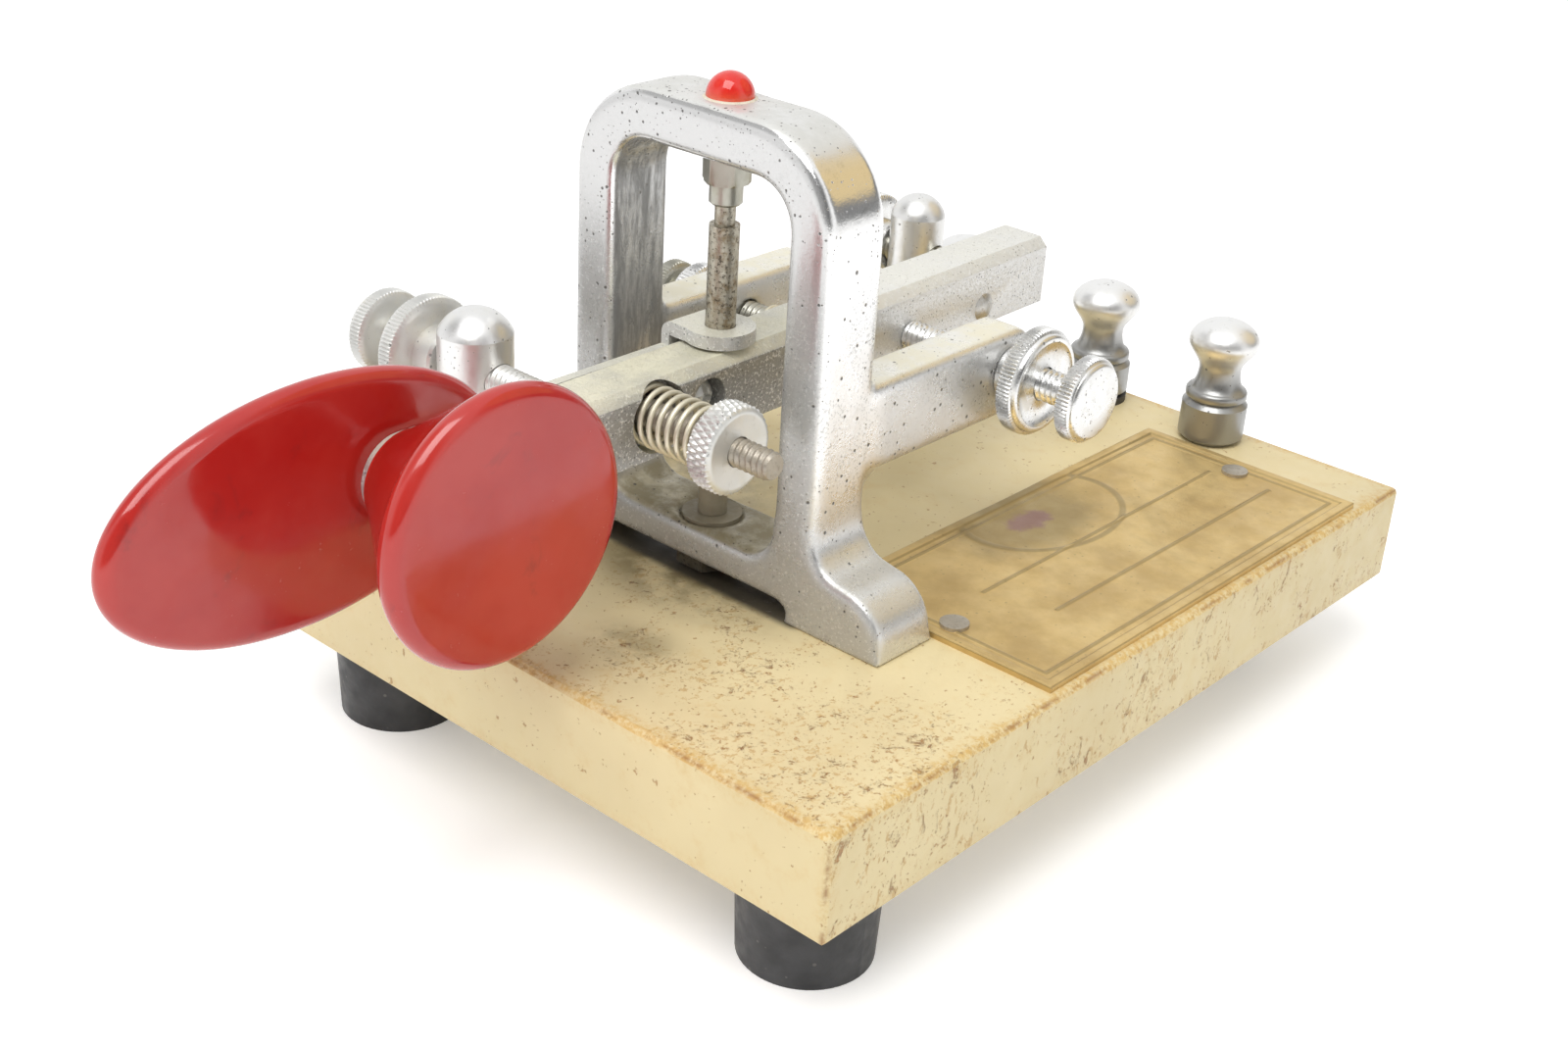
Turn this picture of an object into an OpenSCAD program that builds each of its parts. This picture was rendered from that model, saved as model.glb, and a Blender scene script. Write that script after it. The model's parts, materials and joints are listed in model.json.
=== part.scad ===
// Single-lever telegraph key: an arch carries a lever on a vertical pin, and two posts carry its contacts.
// Millimetres, Z up. The origin is on the table, midway between the paddle's tip and the rear of the base.
// Heights are given above the top of the base, and places on the levers from the axis of the trunnion pin.

/* [Base] */
// Width of the base slab
base_w = 88.9; // [86:0.1:110]
// Length of the base slab
base_l = 114.3; // [112:0.1:140]
// Thickness of the base slab
base_t = 13; // [11:0.5:18]
// Bevel that breaks the slab's edges
base_edge = 0.6; // [0.3:0.1:1.2]
// Length of the bevel under the rear edge
rear_bevel_l = 1.4; // [0.5:0.1:1.5]
// Height of the bevel under the rear edge
rear_bevel_h = 1.2; // [0.5:0.1:3]

/* [Feet] */
// Diameter of a rubber foot at the base
foot_d = 15.9; // [12:0.1:18]
// Diameter that a foot loses towards the table
foot_taper = 1; // [0:0.1:2]
// Height of a foot
foot_h = 11.5; // [8:0.5:16]
// Distance of a front foot's axis from the slab's edges
foot_inset = 11; // [10:0.5:13]
// Distance of a rear foot's axis from the slab's sides
foot_rear_side = 17.5; // [16:0.5:18]
// Distance of a rear foot's axis from the slab's rear edge
foot_rear_back = 17; // [16.5:0.5:19]
// Rounding of a foot's lower edge
foot_edge_r = 0.8; // [0.2:0.1:1.5]
// Diameter of a foot screw's shank
foot_screw_d = 3.4; // [2.5:0.1:4]
// Diameter of a foot screw's head
foot_screw_head_d = 6; // [5:0.1:7]
// Thickness of a foot screw's head
foot_screw_head_t = 2.2; // [1.5:0.1:3]
// Rubber left above a foot screw's head
foot_web_t = 4; // [3:0.5:5]
// Depth of a foot screw in the slab
foot_screw_grip = 7; // [5:0.5:9]

/* [Frame] */
// Distance of the trunnion axis behind the slab's front edge
pivot_back = 32; // [30:0.5:36]
// Offset of the trunnion axis from the middle of the slab, to the right
pivot_shift = -2; // [-4:0.5:2]
// Width of the arch's window
window_w = 25.8; // [25:0.1:30]
// Thickness of the legs and the crown
leg_t = 6; // [5:0.1:7]
// Depth of the arch, front to back
frame_d = 9.5; // [8.5:0.1:12]
// Height of the crown's top
crown_h = 55.1; // [53:0.1:60]
// Outer radius of the arch's shoulders
shoulder_r = 11; // [9:0.1:13]
// Rounding of the arch's long edges
arch_edge_r = 1.3; // [0.5:0.1:2]
// Height of the flared feet
toe_h = 7.3; // [6.5:0.1:9]
// Radius of the toe
toe_r = 6; // [5:0.1:6.5]
// Radius of the flare between leg and toe
flare_r = 4.5; // [4:0.1:7]
// Height of the cross-bar's top
bar_h = 6.6; // [6:0.1:7]
// Height of the undercut below the cross-bar
undercut_h = 2; // [1.8:0.1:2.4]
// Reach of the undercut past the window, each side
undercut_reach = 2.9; // [1:0.1:4]
// Radius of the window's lower corners
window_r = 3.5; // [2:0.1:4]
// Length of an arm behind the arch
arm_l = 28.7; // [28:0.1:34]
// Height of an arm's top
arm_top_h = 27; // [26:0.1:29]
// Height of an arm's section
arm_h = 10.8; // [9.5:0.1:12]
// Radius of an arm's end, seen from the side
arm_end_r = 3; // [1:0.1:4]
// Radius of the fillet below an arm
arm_fillet_r = 5.5; // [3:0.1:7]
// Distance of the stop screw behind the trunnion axis
arm_screw_back = 29.5; // [28:0.1:30]
// Distance of a frame screw inside the toe's tip
frame_screw_inset = 5.6; // [5:0.1:7]
// Diameter of a frame screw's shank
frame_screw_d = 3.5; // [3:0.1:4]
// Diameter of a frame screw's head
frame_screw_head_d = 6; // [5:0.1:6.4]
// Thickness of a frame screw's head
frame_screw_head_t = 2.4; // [2:0.1:3]
// Grip of a frame screw in the toe
frame_screw_grip = 4; // [3:0.1:4.5]

/* [Pivot] */
// Diameter of the trunnion pin
pin_d = 3.4; // [3:0.1:3.8]
// Diameter of the pin's end pivots
pivot_d = 2.3; // [1.8:0.1:2.5]
// Length of the bare upper pivot below its bearing
pivot_neck_l = 2.3; // [1:0.1:6]
// Length of a pivot inside its bearing
pivot_grip = 2; // [1.5:0.1:2.5]
// Diameter of the upper bearing's collar
collar_d = 3.7; // [3.5:0.1:4.5]
// Length of the upper bearing's collar
collar_l = 2.4; // [1.8:0.1:3]
// Width of the upper bearing's hexagon across its flats
bearing_hex_w = 5.6; // [5:0.1:7]
// Thickness of the upper bearing's hexagon
bearing_hex_t = 3.2; // [2.8:0.1:3.4]
// Diameter of the bearings' shanks
bearing_d = 4.6; // [4:0.1:5]
// Diameter of the lower bearing's flange
bearing_flange_d = 7; // [6:0.1:8]
// Thickness of the lower bearing's flange
bearing_flange_t = 1.2; // [1:0.1:2]
// Width of the lower bearing's nut across its flats
bearing_nut_w = 7; // [6:0.1:9]
// Thickness of the lower bearing's nut
bearing_nut_t = 1.6; // [1.2:0.1:1.7]
// Diameter of the jewel
jewel_d = 5.3; // [5:0.1:7]
// Height of the jewel above the crown
jewel_h = 2.8; // [2:0.1:3.2]
// Depth of the jewel's seat
jewel_seat = 0.8; // [0.5:0.1:1.2]

/* [Levers] */
// Width of the main lever
lever_w = 8; // [7:0.1:9]
// Height of the main lever's section
lever_h = 8.6; // [8.2:0.1:10]
// Height of the main lever's underside
lever_low = 19.05; // [18.6:0.05:20.2]
// Reach of the main lever ahead of the trunnion axis
lever_front = 23.5; // [21:0.5:24]
// Reach of the main lever behind the trunnion axis
lever_rear = 57; // [56:0.5:62]
// Chamfer of the main lever's top edges
lever_chamfer = 1.2; // [0.5:0.1:1.5]
// Rise of the main lever towards its rear, for each length of 1
lever_rise = 0.013; // [0:0.001:0.02]
// Height of the contacts' and screws' axes
axis_h = 22; // [21.6:0.1:22.4]
// Height of the dash contact's and dash screw's axis
dash_h = 22.8; // [21.6:0.1:23.4]
// Thickness of the dash lever
strip_t = 1.2; // [1:0.1:2]
// Height of the dash lever's strip
strip_h = 9.3; // [9:0.1:9.4]
// Diameter of the dash lever's eyes
ear_d = 8; // [7.4:0.1:10]
// Width of the bend between the dash lever's eyes and its strip
ear_tab_w = 7.4; // [5:0.1:8]
// Outer radius of that bend
ear_bend_r = 1.5; // [0.5:0.1:2]
// Thickness of the dash lever's eyes
ear_t = 1.6; // [1.2:0.1:2]
// Distance of the clamp screw ahead of the trunnion axis
clamp_ahead = 5.6; // [5.5:0.1:6]
// Diameter of the clamp screw's head
clamp_head_d = 4; // [3.6:0.1:4.4]
// Thickness of the clamp screw's head
clamp_head_t = 1.4; // [1:0.1:1.6]
// Diameter of the clamp screw's shank
clamp_d = 2.6; // [2.2:0.1:2.8]
// Diameter of the clamp screw's counterbore
clamp_bore_d = 5; // [4.8:0.1:5.4]
// Depth of the clamp screw's counterbore
clamp_bore_l = 1.8; // [1.6:0.1:2.2]

/* [Finger pieces] */
// Distance of the finger knob's axis ahead of the trunnion axis
knob_ahead = 40.7; // [40:0.1:44]
// Diameter of the finger knob
knob_d = 29.4; // [26:0.1:30]
// Diameter of the knob's stem
knob_stem_d = 8.6; // [7.5:0.1:9]
// Length of the knob's straight stem
knob_stem_l = 3.2; // [0.5:0.1:4]
// Thickness of the knob's rim
knob_rim_t = 2.6; // [2.6:0.1:4]
// Length of the thumb paddle
paddle_l = 47; // [44:0.5:50]
// Height of the thumb paddle
paddle_h = 26; // [22:0.5:28]
// Thickness of the thumb paddle
paddle_t = 3.2; // [2.6:0.1:4]
// Distance of the paddle's middle ahead of the knob's axis
paddle_lead = 9.9; // [9:0.1:14]
// Drop of the paddle's middle below the knob's axis
paddle_drop = 0.8; // [0:0.1:2]
// Droop of the paddle's front end, in degrees
paddle_droop = 2.5; // [0:0.5:5]
// Diameter of the paddle screw's shank
paddle_screw_d = 3.4; // [3:0.1:4]
// Diameter of the paddle screw's head
paddle_screw_head_d = 6; // [5:0.1:7]
// Thickness of the paddle screw's head
paddle_screw_head_t = 1.6; // [1.2:0.1:2]
// Grip of the paddle screw in the knob
paddle_screw_grip = 7; // [5:0.5:9]

/* [Dash spring] */
// Distance of the spring's axis ahead of the trunnion axis
spring_ahead = 13.1; // [12.8:0.1:13.4]
// Outer diameter of the dash spring
spring_d = 7; // [6.6:0.1:7.2]
// Diameter of the dash spring's wire
spring_wire = 0.6; // [0.5:0.05:0.65]
// Turns of the dash spring
spring_turns = 8; // [6:1:8]
// Length of the dash spring as set
spring_l = 10.7; // [10.5:0.1:12]
// Diameter of the spring's pocket in the lever
pocket_d = 8; // [7.8:0.1:8.2]
// Depth of the spring's pocket in the lever
pocket_l = 2.5; // [2:0.1:3]
// Diameter of the spring stud
stud_d = 3.3; // [3:0.1:4]
// Reach of the stud past the spring nut
stud_over = 5; // [2:0.5:7]
// Diameter of the stud's riveted head
stud_head_d = 5.6; // [5:0.1:6]
// Thickness of the stud's riveted head
stud_head_t = 0.8; // [0.5:0.1:0.9]
// Diameter of the spring nut
spring_nut_d = 10; // [8.5:0.1:11]
// Thickness of the spring nut
spring_nut_t = 3.3; // [2.5:0.1:4]

/* [Return spring] */
// Distance of the return spring and its screw behind the trunnion axis
return_back = 19; // [17:0.1:24]
// Diameter of the spring screw's head
return_head_d = 7.2; // [6:0.1:9]
// Diameter of the spring screw's lock nut
return_lock_d = 8.8; // [7.6:0.1:10]
// Length of the hub of that lock nut
return_hub_l = 1; // [0.6:0.1:3]
// Free thread between the spring screw's head and its lock nut
return_free_l = 1.6; // [1:0.1:4]
// Outer diameter of the return spring
return_d = 5; // [4.6:0.1:5.4]
// Diameter of the return spring's wire
return_wire = 0.5; // [0.4:0.05:0.55]
// Turns of the return spring
return_turns = 5; // [4:1:5]
// Gap between the spring screw's shoulder and the lever
return_gap = 5.5; // [5:0.1:6]
// Diameter of the return spring's pocket in the lever
return_pocket_d = 6; // [5.8:0.1:6.4]
// Depth of the return spring's pocket in the lever
return_pocket_l = 1.5; // [1:0.1:2]
// Diameter of the spigot inside the return spring
spigot_d = 2.8; // [2:0.1:3]
// Length of the spigot inside the return spring
spigot_l = 3; // [2:0.1:3.5]

/* [Adjusting screws] */
// Diameter of the adjusting screws
screw_d = 4; // [3.5:0.1:4.2]
// Diameter of the screws' heads
head_d = 10.1; // [9:0.1:11]
// Thickness of the screws' heads
head_t = 2.8; // [2:0.1:4]
// Diameter of the lock nuts
lock_nut_d = 12.8; // [10:0.1:13.5]
// Thickness of the lock nuts
lock_nut_t = 3; // [2:0.1:4]
// Diameter of a lock nut's hub
hub_d = 6.6; // [5.5:0.1:7]
// Length of a lock nut's hub on the arms
arm_hub_l = 2.3; // [1:0.1:4]
// Length of a lock nut's hub on the posts
post_hub_l = 2.8; // [2:0.1:5]
// Free thread between head and lock nut
free_thread_l = 4.2; // [2:0.1:7]

/* [Contacts] */
// Diameter of the contact buttons
contact_d = 3.4; // [2.6:0.1:4]
// Height of the contact buttons
contact_t = 1; // [0.8:0.1:1.4]
// Diameter of the contact tips on the screws
tip_d = 2.6; // [2:0.1:3.2]
// Length of the contact tips on the screws
tip_l = 0.8; // [0.5:0.1:1.2]
// Gap of the dash contact at rest
dash_gap = 1; // [1:0.05:1.4]
// Gap of the dot contact at rest
dot_gap = 1; // [1:0.05:1.4]
// Thickness of the dot contact's leaf
leaf_t = 0.6; // [0.4:0.1:0.8]
// Height of the dot contact's leaf
leaf_h = 5; // [4.4:0.1:5.4]
// Distance of the leaf's rivet behind the trunnion axis
rivet_back = 44.3; // [43:0.1:46]
// Diameter of the rivet's heads
rivet_head_d = 3.6; // [3:0.1:4]
// Height of the rivet's heads
rivet_head_t = 0.6; // [0.4:0.1:0.8]
// Diameter of the rivets' shanks
rivet_d = 2; // [1.6:0.1:2.2]

/* [Posts] */
// Diameter of the dash post
post_d = 8.6; // [7.6:0.1:9]
// Diameter of the dot post
dot_post_d = 7.2; // [6.6:0.1:9]
// Height of the contact posts
post_h = 30.3; // [29:0.1:32]
// Height of the posts' domed caps
post_cap_h = 2.8; // [2:0.1:4]
// Distance of the dash post left of the trunnion axis
dash_post_out = 19.7; // [18:0.1:21]
// Distance of the dash post ahead of the trunnion axis
dash_post_ahead = 18.5; // [18.2:0.1:19.5]
// Distance of the dot post left of the trunnion axis
dot_post_out = 14.5; // [13:0.1:17]
// Distance of the dot post behind the trunnion axis
dot_post_back = 53.5; // [52.5:0.1:54]
// Diameter of a post's stud below the base
post_stud_d = 4; // [3.5:0.1:4.5]
// Diameter of an insulating flange under a post
post_flange_d = 10.6; // [9:0.1:11.5]
// Thickness of the insulating flanges
flange_t = 1; // [0.6:0.1:1.4]
// Wall of the insulating bushes
bush_wall = 1.2; // [0.8:0.1:1.4]
// Width of a post's nut across its flats
post_nut_w = 6.6; // [6.2:0.1:6.8]
// Thickness of a post's nut
post_nut_t = 2.4; // [2:0.1:2.8]

/* [Terminals] */
// Distance of the terminals from the slab's rear edge
terminal_inset = 5; // [5:0.1:6]
// Place of the left terminal, from the middle of the slab
terminal_left_x = -25; // [-27:0.5:-22]
// Place of the middle terminal, from the middle of the slab
terminal_mid_x = -0.5; // [-4:0.5:2]
// Place of the right terminal, from the middle of the slab
terminal_right_x = 18.5; // [16:0.5:22]
// Diameter of a terminal's collar
terminal_d = 8.8; // [8:0.1:9.4]
// Height of a terminal's collar
terminal_collar_h = 5; // [4:0.1:7]
// Diameter of a terminal's stud
terminal_stud_d = 3; // [2.5:0.1:3.2]
// Height of a terminal knob
terminal_knob_h = 11; // [10:0.1:13]
// Diameter of a terminal knob's waist
terminal_waist_d = 5.8; // [4.8:0.1:6.4]
// Diameter of a terminal knob's round top
terminal_top_d = 9.4; // [8:0.1:10]
// Height of a terminal knob's round top
terminal_top_h = 5.8; // [4.6:0.1:6.4]
// Height of a terminal knob's skirt
terminal_skirt_h = 1.2; // [0.8:0.1:2]
// Width of a terminal's nut across its flats
terminal_nut_w = 5; // [4.6:0.1:5.2]
// Thickness of a terminal's nut
terminal_nut_t = 2; // [1.6:0.1:2.4]

/* [Wiring] */
// Depth of the nut recesses under the slab
recess_depth = 5; // [4.8:0.1:6]
// Width of the wiring grooves
groove_w = 4; // [3.6:0.1:4.6]
// Width of a strap
strap_w = 2.8; // [2:0.1:3.2]
// Thickness of a strap
strap_t = 0.8; // [0.4:0.1:1]

/* [Nameplate] */
// Width of the nameplate
plate_w = 31.2; // [26:0.1:34]
// Thickness of the nameplate
plate_t = 0.5; // [0.4:0.1:0.8]
// Width of the nameplate's raised rim
plate_rim_w = 1.2; // [0.6:0.1:2]
// Height of the nameplate's raised rim
plate_rim_h = 0.3; // [0.2:0.1:0.5]
// Margin at the slab's right edge
plate_margin = 1.2; // [1:0.1:3]
// Gap between the arch and the nameplate
plate_front_gap = 0.3; // [0.2:0.1:3]
// Gap between the nameplate and the terminals
plate_rear_gap = 1; // [0.5:0.1:3]
// Distance of a drive pin from the nameplate's end
plate_pin_inset = 3.4; // [3:0.1:6]
// Diameter of a drive pin's head
plate_pin_head_d = 2.6; // [2:0.1:3]
// Height of a drive pin's head
plate_pin_head_t = 0.6; // [0.4:0.1:0.8]
// Diameter of a drive pin's shank
plate_pin_d = 1.5; // [1.2:0.1:1.7]
// Depth of a drive pin in the slab
plate_pin_grip = 4; // [3:0.5:6]

/* [Clearances] */
// Radial clearance of a piece that turns on a pin or a thread
run_fit = 0.05; // [0.02:0.01:0.1]
// Radial clearance of a screw, stud or bush in a fixed hole
hole_fit = 0.1; // [0.05:0.05:0.2]
// Gap between faces that slide past each other
face_gap = 0.25; // [0.2:0.05:0.4]
// Gap between a turning face and its seat
seat_gap = 0.05; // [0.02:0.01:0.1]
// Clearance of the stud in the main lever
stud_room = 0.8; // [0.6:0.1:1]

/* [Hidden] */
$fn = 48;

// Small overrun of a cut past the face that it opens
cut = 0.5;

// Places of the slab and of the trunnion axis
paddle_half = sqrt(pow(paddle_l / 2 * cos(paddle_droop), 2) + pow(paddle_h / 2 * sin(paddle_droop), 2));
front_reach = knob_ahead + paddle_lead + paddle_half - pivot_back;
base_front_y = (front_reach - base_l) / 2;
base_mid_y = base_front_y + base_l / 2;
base_top_z = foot_h + base_t;
pivot_y = base_front_y + pivot_back;
pivot_place = [pivot_shift, pivot_y, base_top_z];

// Arch, from the trunnion axis
leg_in = window_w / 2;
leg_out = leg_in + leg_t;
toe_x = leg_out + flare_r;
toe_tip = toe_x + toe_r;
crown_under_h = crown_h - leg_t;
shoulder_h = crown_h - shoulder_r;
leg_foot_h = toe_h + flare_r;
arm_end = frame_d / 2 + arm_l;
frame_screw_x = toe_tip - frame_screw_inset;

// Pivot, from the top of the base
flange_low_h = bar_h - bearing_flange_t;
collar_low_h = crown_under_h - bearing_hex_t - collar_l;
pivot_top_h = collar_low_h + pivot_grip;
pin_shoulder_h = collar_low_h - pivot_neck_l;
pin_low_h = bar_h + seat_gap;
pivot_low_h = bar_h - pivot_grip;

// Levers, from the trunnion axis
lever_side = lever_w / 2;
lever_top = lever_low + lever_h;
lever_mid_h = lever_low + lever_h / 2;
strip_in = -lever_side - face_gap;
strip_out = strip_in - strip_t;
ear_rise = lever_rise * ear_d / 2;
ear_top = lever_top + ear_rise + face_gap;
ear_low = lever_low - ear_rise - face_gap - ear_t;
dash_contact_x = strip_out - contact_t;
dot_contact_x = -lever_side - leaf_t - contact_t;
leaf_front = rivet_back - leaf_h / 2;

// Finger pieces, from the trunnion axis
knob_flare_r = (knob_d - knob_stem_d) / 2;
knob_l = knob_stem_l + knob_flare_r + knob_rim_t;
knob_edge_r = 1.1;
paddle_out = strip_out - paddle_t;
paddle_rings = 8;
paddle_sides = 72;

// Dash spring, from the trunnion axis
spring_seat = lever_side - pocket_l;
nut_in = spring_seat + spring_l;
nut_out = nut_in + spring_nut_t;
stud_end = nut_out + stud_over;

// Adjusting screws, as [tip, seat of the lock nut] on the left side
stop_tip = lever_side + seat_gap;
return_shoulder = lever_side + return_gap;
return_seat = -lever_side + return_pocket_l;
dash_tip = -dash_contact_x + dash_gap;
dot_tip = -dot_contact_x + dot_gap;

// Places of posts and terminals, from the middle of the slab
dash_post_place = [pivot_shift - dash_post_out, pivot_y - dash_post_ahead];
dot_post_place = [pivot_shift - dot_post_out, pivot_y + dot_post_back];
terminal_y = base_front_y + base_l - terminal_inset;
terminal_left = [terminal_left_x, terminal_y];
terminal_mid = [terminal_mid_x, terminal_y];
terminal_right = [terminal_right_x, terminal_y];
insulated_posts = [dash_post_place, dot_post_place];
insulated_terminals = [terminal_left, terminal_mid];
terminals = [terminal_left, terminal_mid, terminal_right];
post_bush_d = post_stud_d + 2 * (hole_fit + bush_wall);
post_hole_d = post_bush_d + 2 * hole_fit;
terminal_bush_d = terminal_stud_d + 2 * hole_fit + bush_wall;
terminal_hole_d = terminal_bush_d + 2 * hole_fit;
recess_roof_z = foot_h + recess_depth;
under_washer_t = flange_t;
groove_depth = recess_depth - under_washer_t / 2;
strap_top_z = recess_roof_z - under_washer_t;
nut_top_z = strap_top_z - strap_t;
nut_room = 0.4;
post_recess_d = post_nut_w / cos(30) + 3 * nut_room;
terminal_recess_d = terminal_nut_w / cos(30) + 2 * nut_room;

// Nameplate
plate_right = base_w / 2 - plate_margin;
plate_front = pivot_y + frame_d / 2 + plate_front_gap;
plate_rear = terminal_y - terminal_d / 2 - plate_rear_gap;
plate_l = plate_rear - plate_front;
plate_x = plate_right - plate_w / 2;
plate_pin_y = [plate_front + plate_pin_inset, plate_rear - plate_pin_inset];

// Feet: the front pair in the corners, the rear pair set in, clear of the terminals' recesses
foot_front = [base_w / 2 - foot_inset, base_front_y + foot_inset];
foot_rear = [base_w / 2 - foot_rear_side, base_front_y + base_l - foot_rear_back];
foot_places = [for (place = [foot_front, foot_rear], x = [-1, 1]) [x * place[0], place[1]]];
foot_head_z = foot_h - foot_web_t;

// Moves to the trunnion axis at the top of the base
module at_pivot() { translate(pivot_place) children(); }

// Copies to each place in a list, at one height
module at_each(places, z) { for (p = places) translate([p[0], p[1], z]) children(); }

// Round bar along X
module bar_x(d, from, to, y, z) { translate([from, y, z]) rotate([0, 90, 0]) cylinder(d = d, h = to - from); }

// Outline drawn in X and Z, pulled along Y about the middle
module pull_y(depth) { rotate([90, 0, 0]) linear_extrude(depth, center = true) children(); }

// Outline drawn in Y and Z, pulled along X from one place to another
module pull_x(from, to) { translate([from, 0, 0]) rotate([90, 0, 90]) linear_extrude(to - from) children(); }

// Rectangle with round corners, about its middle
module round_rect(w, h, r) {
    square([w - 2 * r, h], center = true);
    square([w, h - 2 * r], center = true);
    for (x = [-1, 1], y = [-1, 1]) translate([x * (w / 2 - r), y * (h / 2 - r)]) circle(r);
}

// Rectangle with bevelled corners, about its middle
module bevel_rect(w, h, b) {
    x = w / 2;
    y = h / 2;
    polygon([
        [x - b, -y], [x, -y + b], [x, y - b], [x - b, y], [-x + b, y], [-x, y - b], [-x, -y + b], [-x + b, -y]
    ]);
}

// Inside corner filled to a radius, towards +X and +Y
module fillet(r) {
    difference() {
        square(r);
        translate([r, r]) circle(r);
    }
}

// Hexagon nut with a round hole
module hex_nut(w, t, bore) {
    difference() {
        cylinder(d = w / cos(30), h = t, $fn = 6);
        translate([0, 0, -cut]) cylinder(d = bore, h = t + 2 * cut);
    }
}

// Disc with broken edges, from z = 0 up
module rimmed_disc(d, t) {
    bevel = min(t, d) / 8;
    rotate_extrude() polygon([
        [0, 0], [d / 2 - bevel, 0], [d / 2, bevel], [d / 2, t - bevel], [d / 2 - bevel, t], [0, t]
    ]);
}

// Domed head on a flat seat, from z = 0 up
module dome(d, h) {
    ball_r = (d * d / 4 + h * h) / (2 * h);
    intersection() {
        translate([0, 0, h - ball_r]) sphere(ball_r);
        cylinder(d = d + cut, h = h + cut);
    }
}

// Coil along +Z: straight for one wire's width at each end, a helix between
function coil_points(r, wire, l, turns) = let (steps = 8 * turns, rise = l - 2 * wire) concat(
    [[r, 0, 0]],
    [for (i = [0:steps]) [r * cos(i * 45), r * sin(i * 45), wire + rise * i / steps]],
    [[r * cos(steps * 45), r * sin(steps * 45), l]]
);
function unit(v) = v / norm(v);
function coil_along(p, i) = let (n = len(p) - 1)
    unit((i < n ? unit(p[i + 1] - p[i]) : [0, 0, 0]) + (i > 0 ? unit(p[i] - p[i - 1]) : [0, 0, 0]));
function coil_ring(p, i, wire) = let (out = unit([p[i][0], p[i][1], 0]), side = cross(coil_along(p, i), out))
    [for (k = [0:5]) p[i] + wire / 2 * (cos(k * 60) * out + sin(k * 60) * unit(side))];
function coil_least_gap(p, wire) = let (n = len(p) - 1)
    min([for (i = [0:n], j = [i + 6:1:n]) norm(p[j] - p[i])]) - wire;
module coil(d, wire, l, turns, name) {
    points = coil_points((d - wire) / 2, wire, l, turns);
    rings = len(points);
    skin = [for (i = [0:rings - 2], k = [0:5]) let (a = 6 * i + k, b = 6 * i + (k + 1) % 6)
        each [[a, a + 6, b], [b, a + 6, b + 6]]];
    caps = [for (k = [1:4]) each [[0, k, k + 1], [6 * rings - 6, 6 * rings - 6 + k + 1, 6 * rings - 6 + k]]];
    echo(str(name, " least gap ", coil_least_gap(points, wire), " mm"));
    polyhedron([for (i = [0:rings - 1]) each coil_ring(points, i, wire)], concat(skin, caps));
}

// Groove or strap between two places, from z = 0 up
module link(from, to, w, t) {
    way = to - from;
    translate([from[0], from[1], 0]) rotate([0, 0, atan2(way[1], way[0])]) translate([0, -w / 2, 0])
        cube([norm(way), w, t]);
}

// Slab with broken edges, a bevel under its rear edge, and recesses below
module base() {
    half_h = base_t / 2;
    color("wheat") difference() {
        translate([0, base_mid_y, foot_h + half_h]) intersection() {
            linear_extrude(base_t, center = true) bevel_rect(base_w, base_l, base_edge);
            pull_y(base_l) bevel_rect(base_w, base_t, base_edge);
            pull_x(-base_w / 2, base_w / 2) difference() {
                bevel_rect(base_l, base_t, base_edge);
                polygon([
                    [base_l / 2 - rear_bevel_l, -half_h], [base_l / 2 + cut, -half_h - cut],
                    [base_l / 2, -half_h + rear_bevel_h]
                ]);
            }
        }
        at_each(insulated_posts, 0) cylinder(d = post_hole_d, h = base_top_z + cut);
        at_each(insulated_posts, foot_h - cut) cylinder(d = post_recess_d, h = recess_depth + cut);
        at_each(insulated_terminals, 0) cylinder(d = terminal_hole_d, h = base_top_z + cut);
        at_each([terminal_right], 0) cylinder(d = terminal_stud_d + 2 * hole_fit, h = base_top_z + cut);
        at_each(terminals, foot_h - cut) cylinder(d = terminal_recess_d, h = recess_depth + cut);
        translate([0, 0, foot_h - cut]) link(dash_post_place, terminal_mid, groove_w, groove_depth + cut);
        translate([0, 0, foot_h - cut]) link(dot_post_place, terminal_left, groove_w, groove_depth + cut);
        at_each(foot_places, 0)
            cylinder(d = foot_screw_d + 2 * hole_fit, h = foot_h + foot_screw_grip + hole_fit);
        at_pivot() for (s = [-1, 1]) translate([s * frame_screw_x, 0, -base_t - cut]) {
            cylinder(d = frame_screw_d + 2 * hole_fit, h = base_t + 2 * cut);
            cylinder(d = frame_screw_head_d + 2 * nut_room, h = frame_screw_head_t + nut_room + cut);
        }
        at_each([for (y = plate_pin_y) [plate_x, y]], base_top_z - plate_pin_grip - hole_fit)
            cylinder(d = plate_pin_d + 2 * hole_fit, h = plate_pin_grip + hole_fit + cut);
    }
}

// Tapered rubber feet, each with a counterbore for its screw
module rubber_feet() {
    top_r = foot_d / 2;
    low_r = top_r - foot_taper / 2;
    color("dimgray") at_each(foot_places, 0) difference() {
        rotate_extrude() difference() {
            polygon([[0, 0], [low_r, 0], [top_r, foot_h], [0, foot_h]]);
            translate([low_r, 0]) mirror([1, 0]) fillet(foot_edge_r);
        }
        translate([0, 0, -cut]) cylinder(d = foot_screw_d + 2 * hole_fit, h = foot_h + 2 * cut);
        translate([0, 0, -cut]) cylinder(d = foot_screw_head_d + 2 * nut_room, h = foot_head_z + cut);
    }
}

module foot_screws() {
    color("silver") at_each(foot_places, foot_head_z) {
        cylinder(d = foot_screw_d, h = foot_web_t + foot_screw_grip);
        translate([0, 0, -foot_screw_head_t]) rimmed_disc(foot_screw_head_d, foot_screw_head_t);
    }
}

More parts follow.
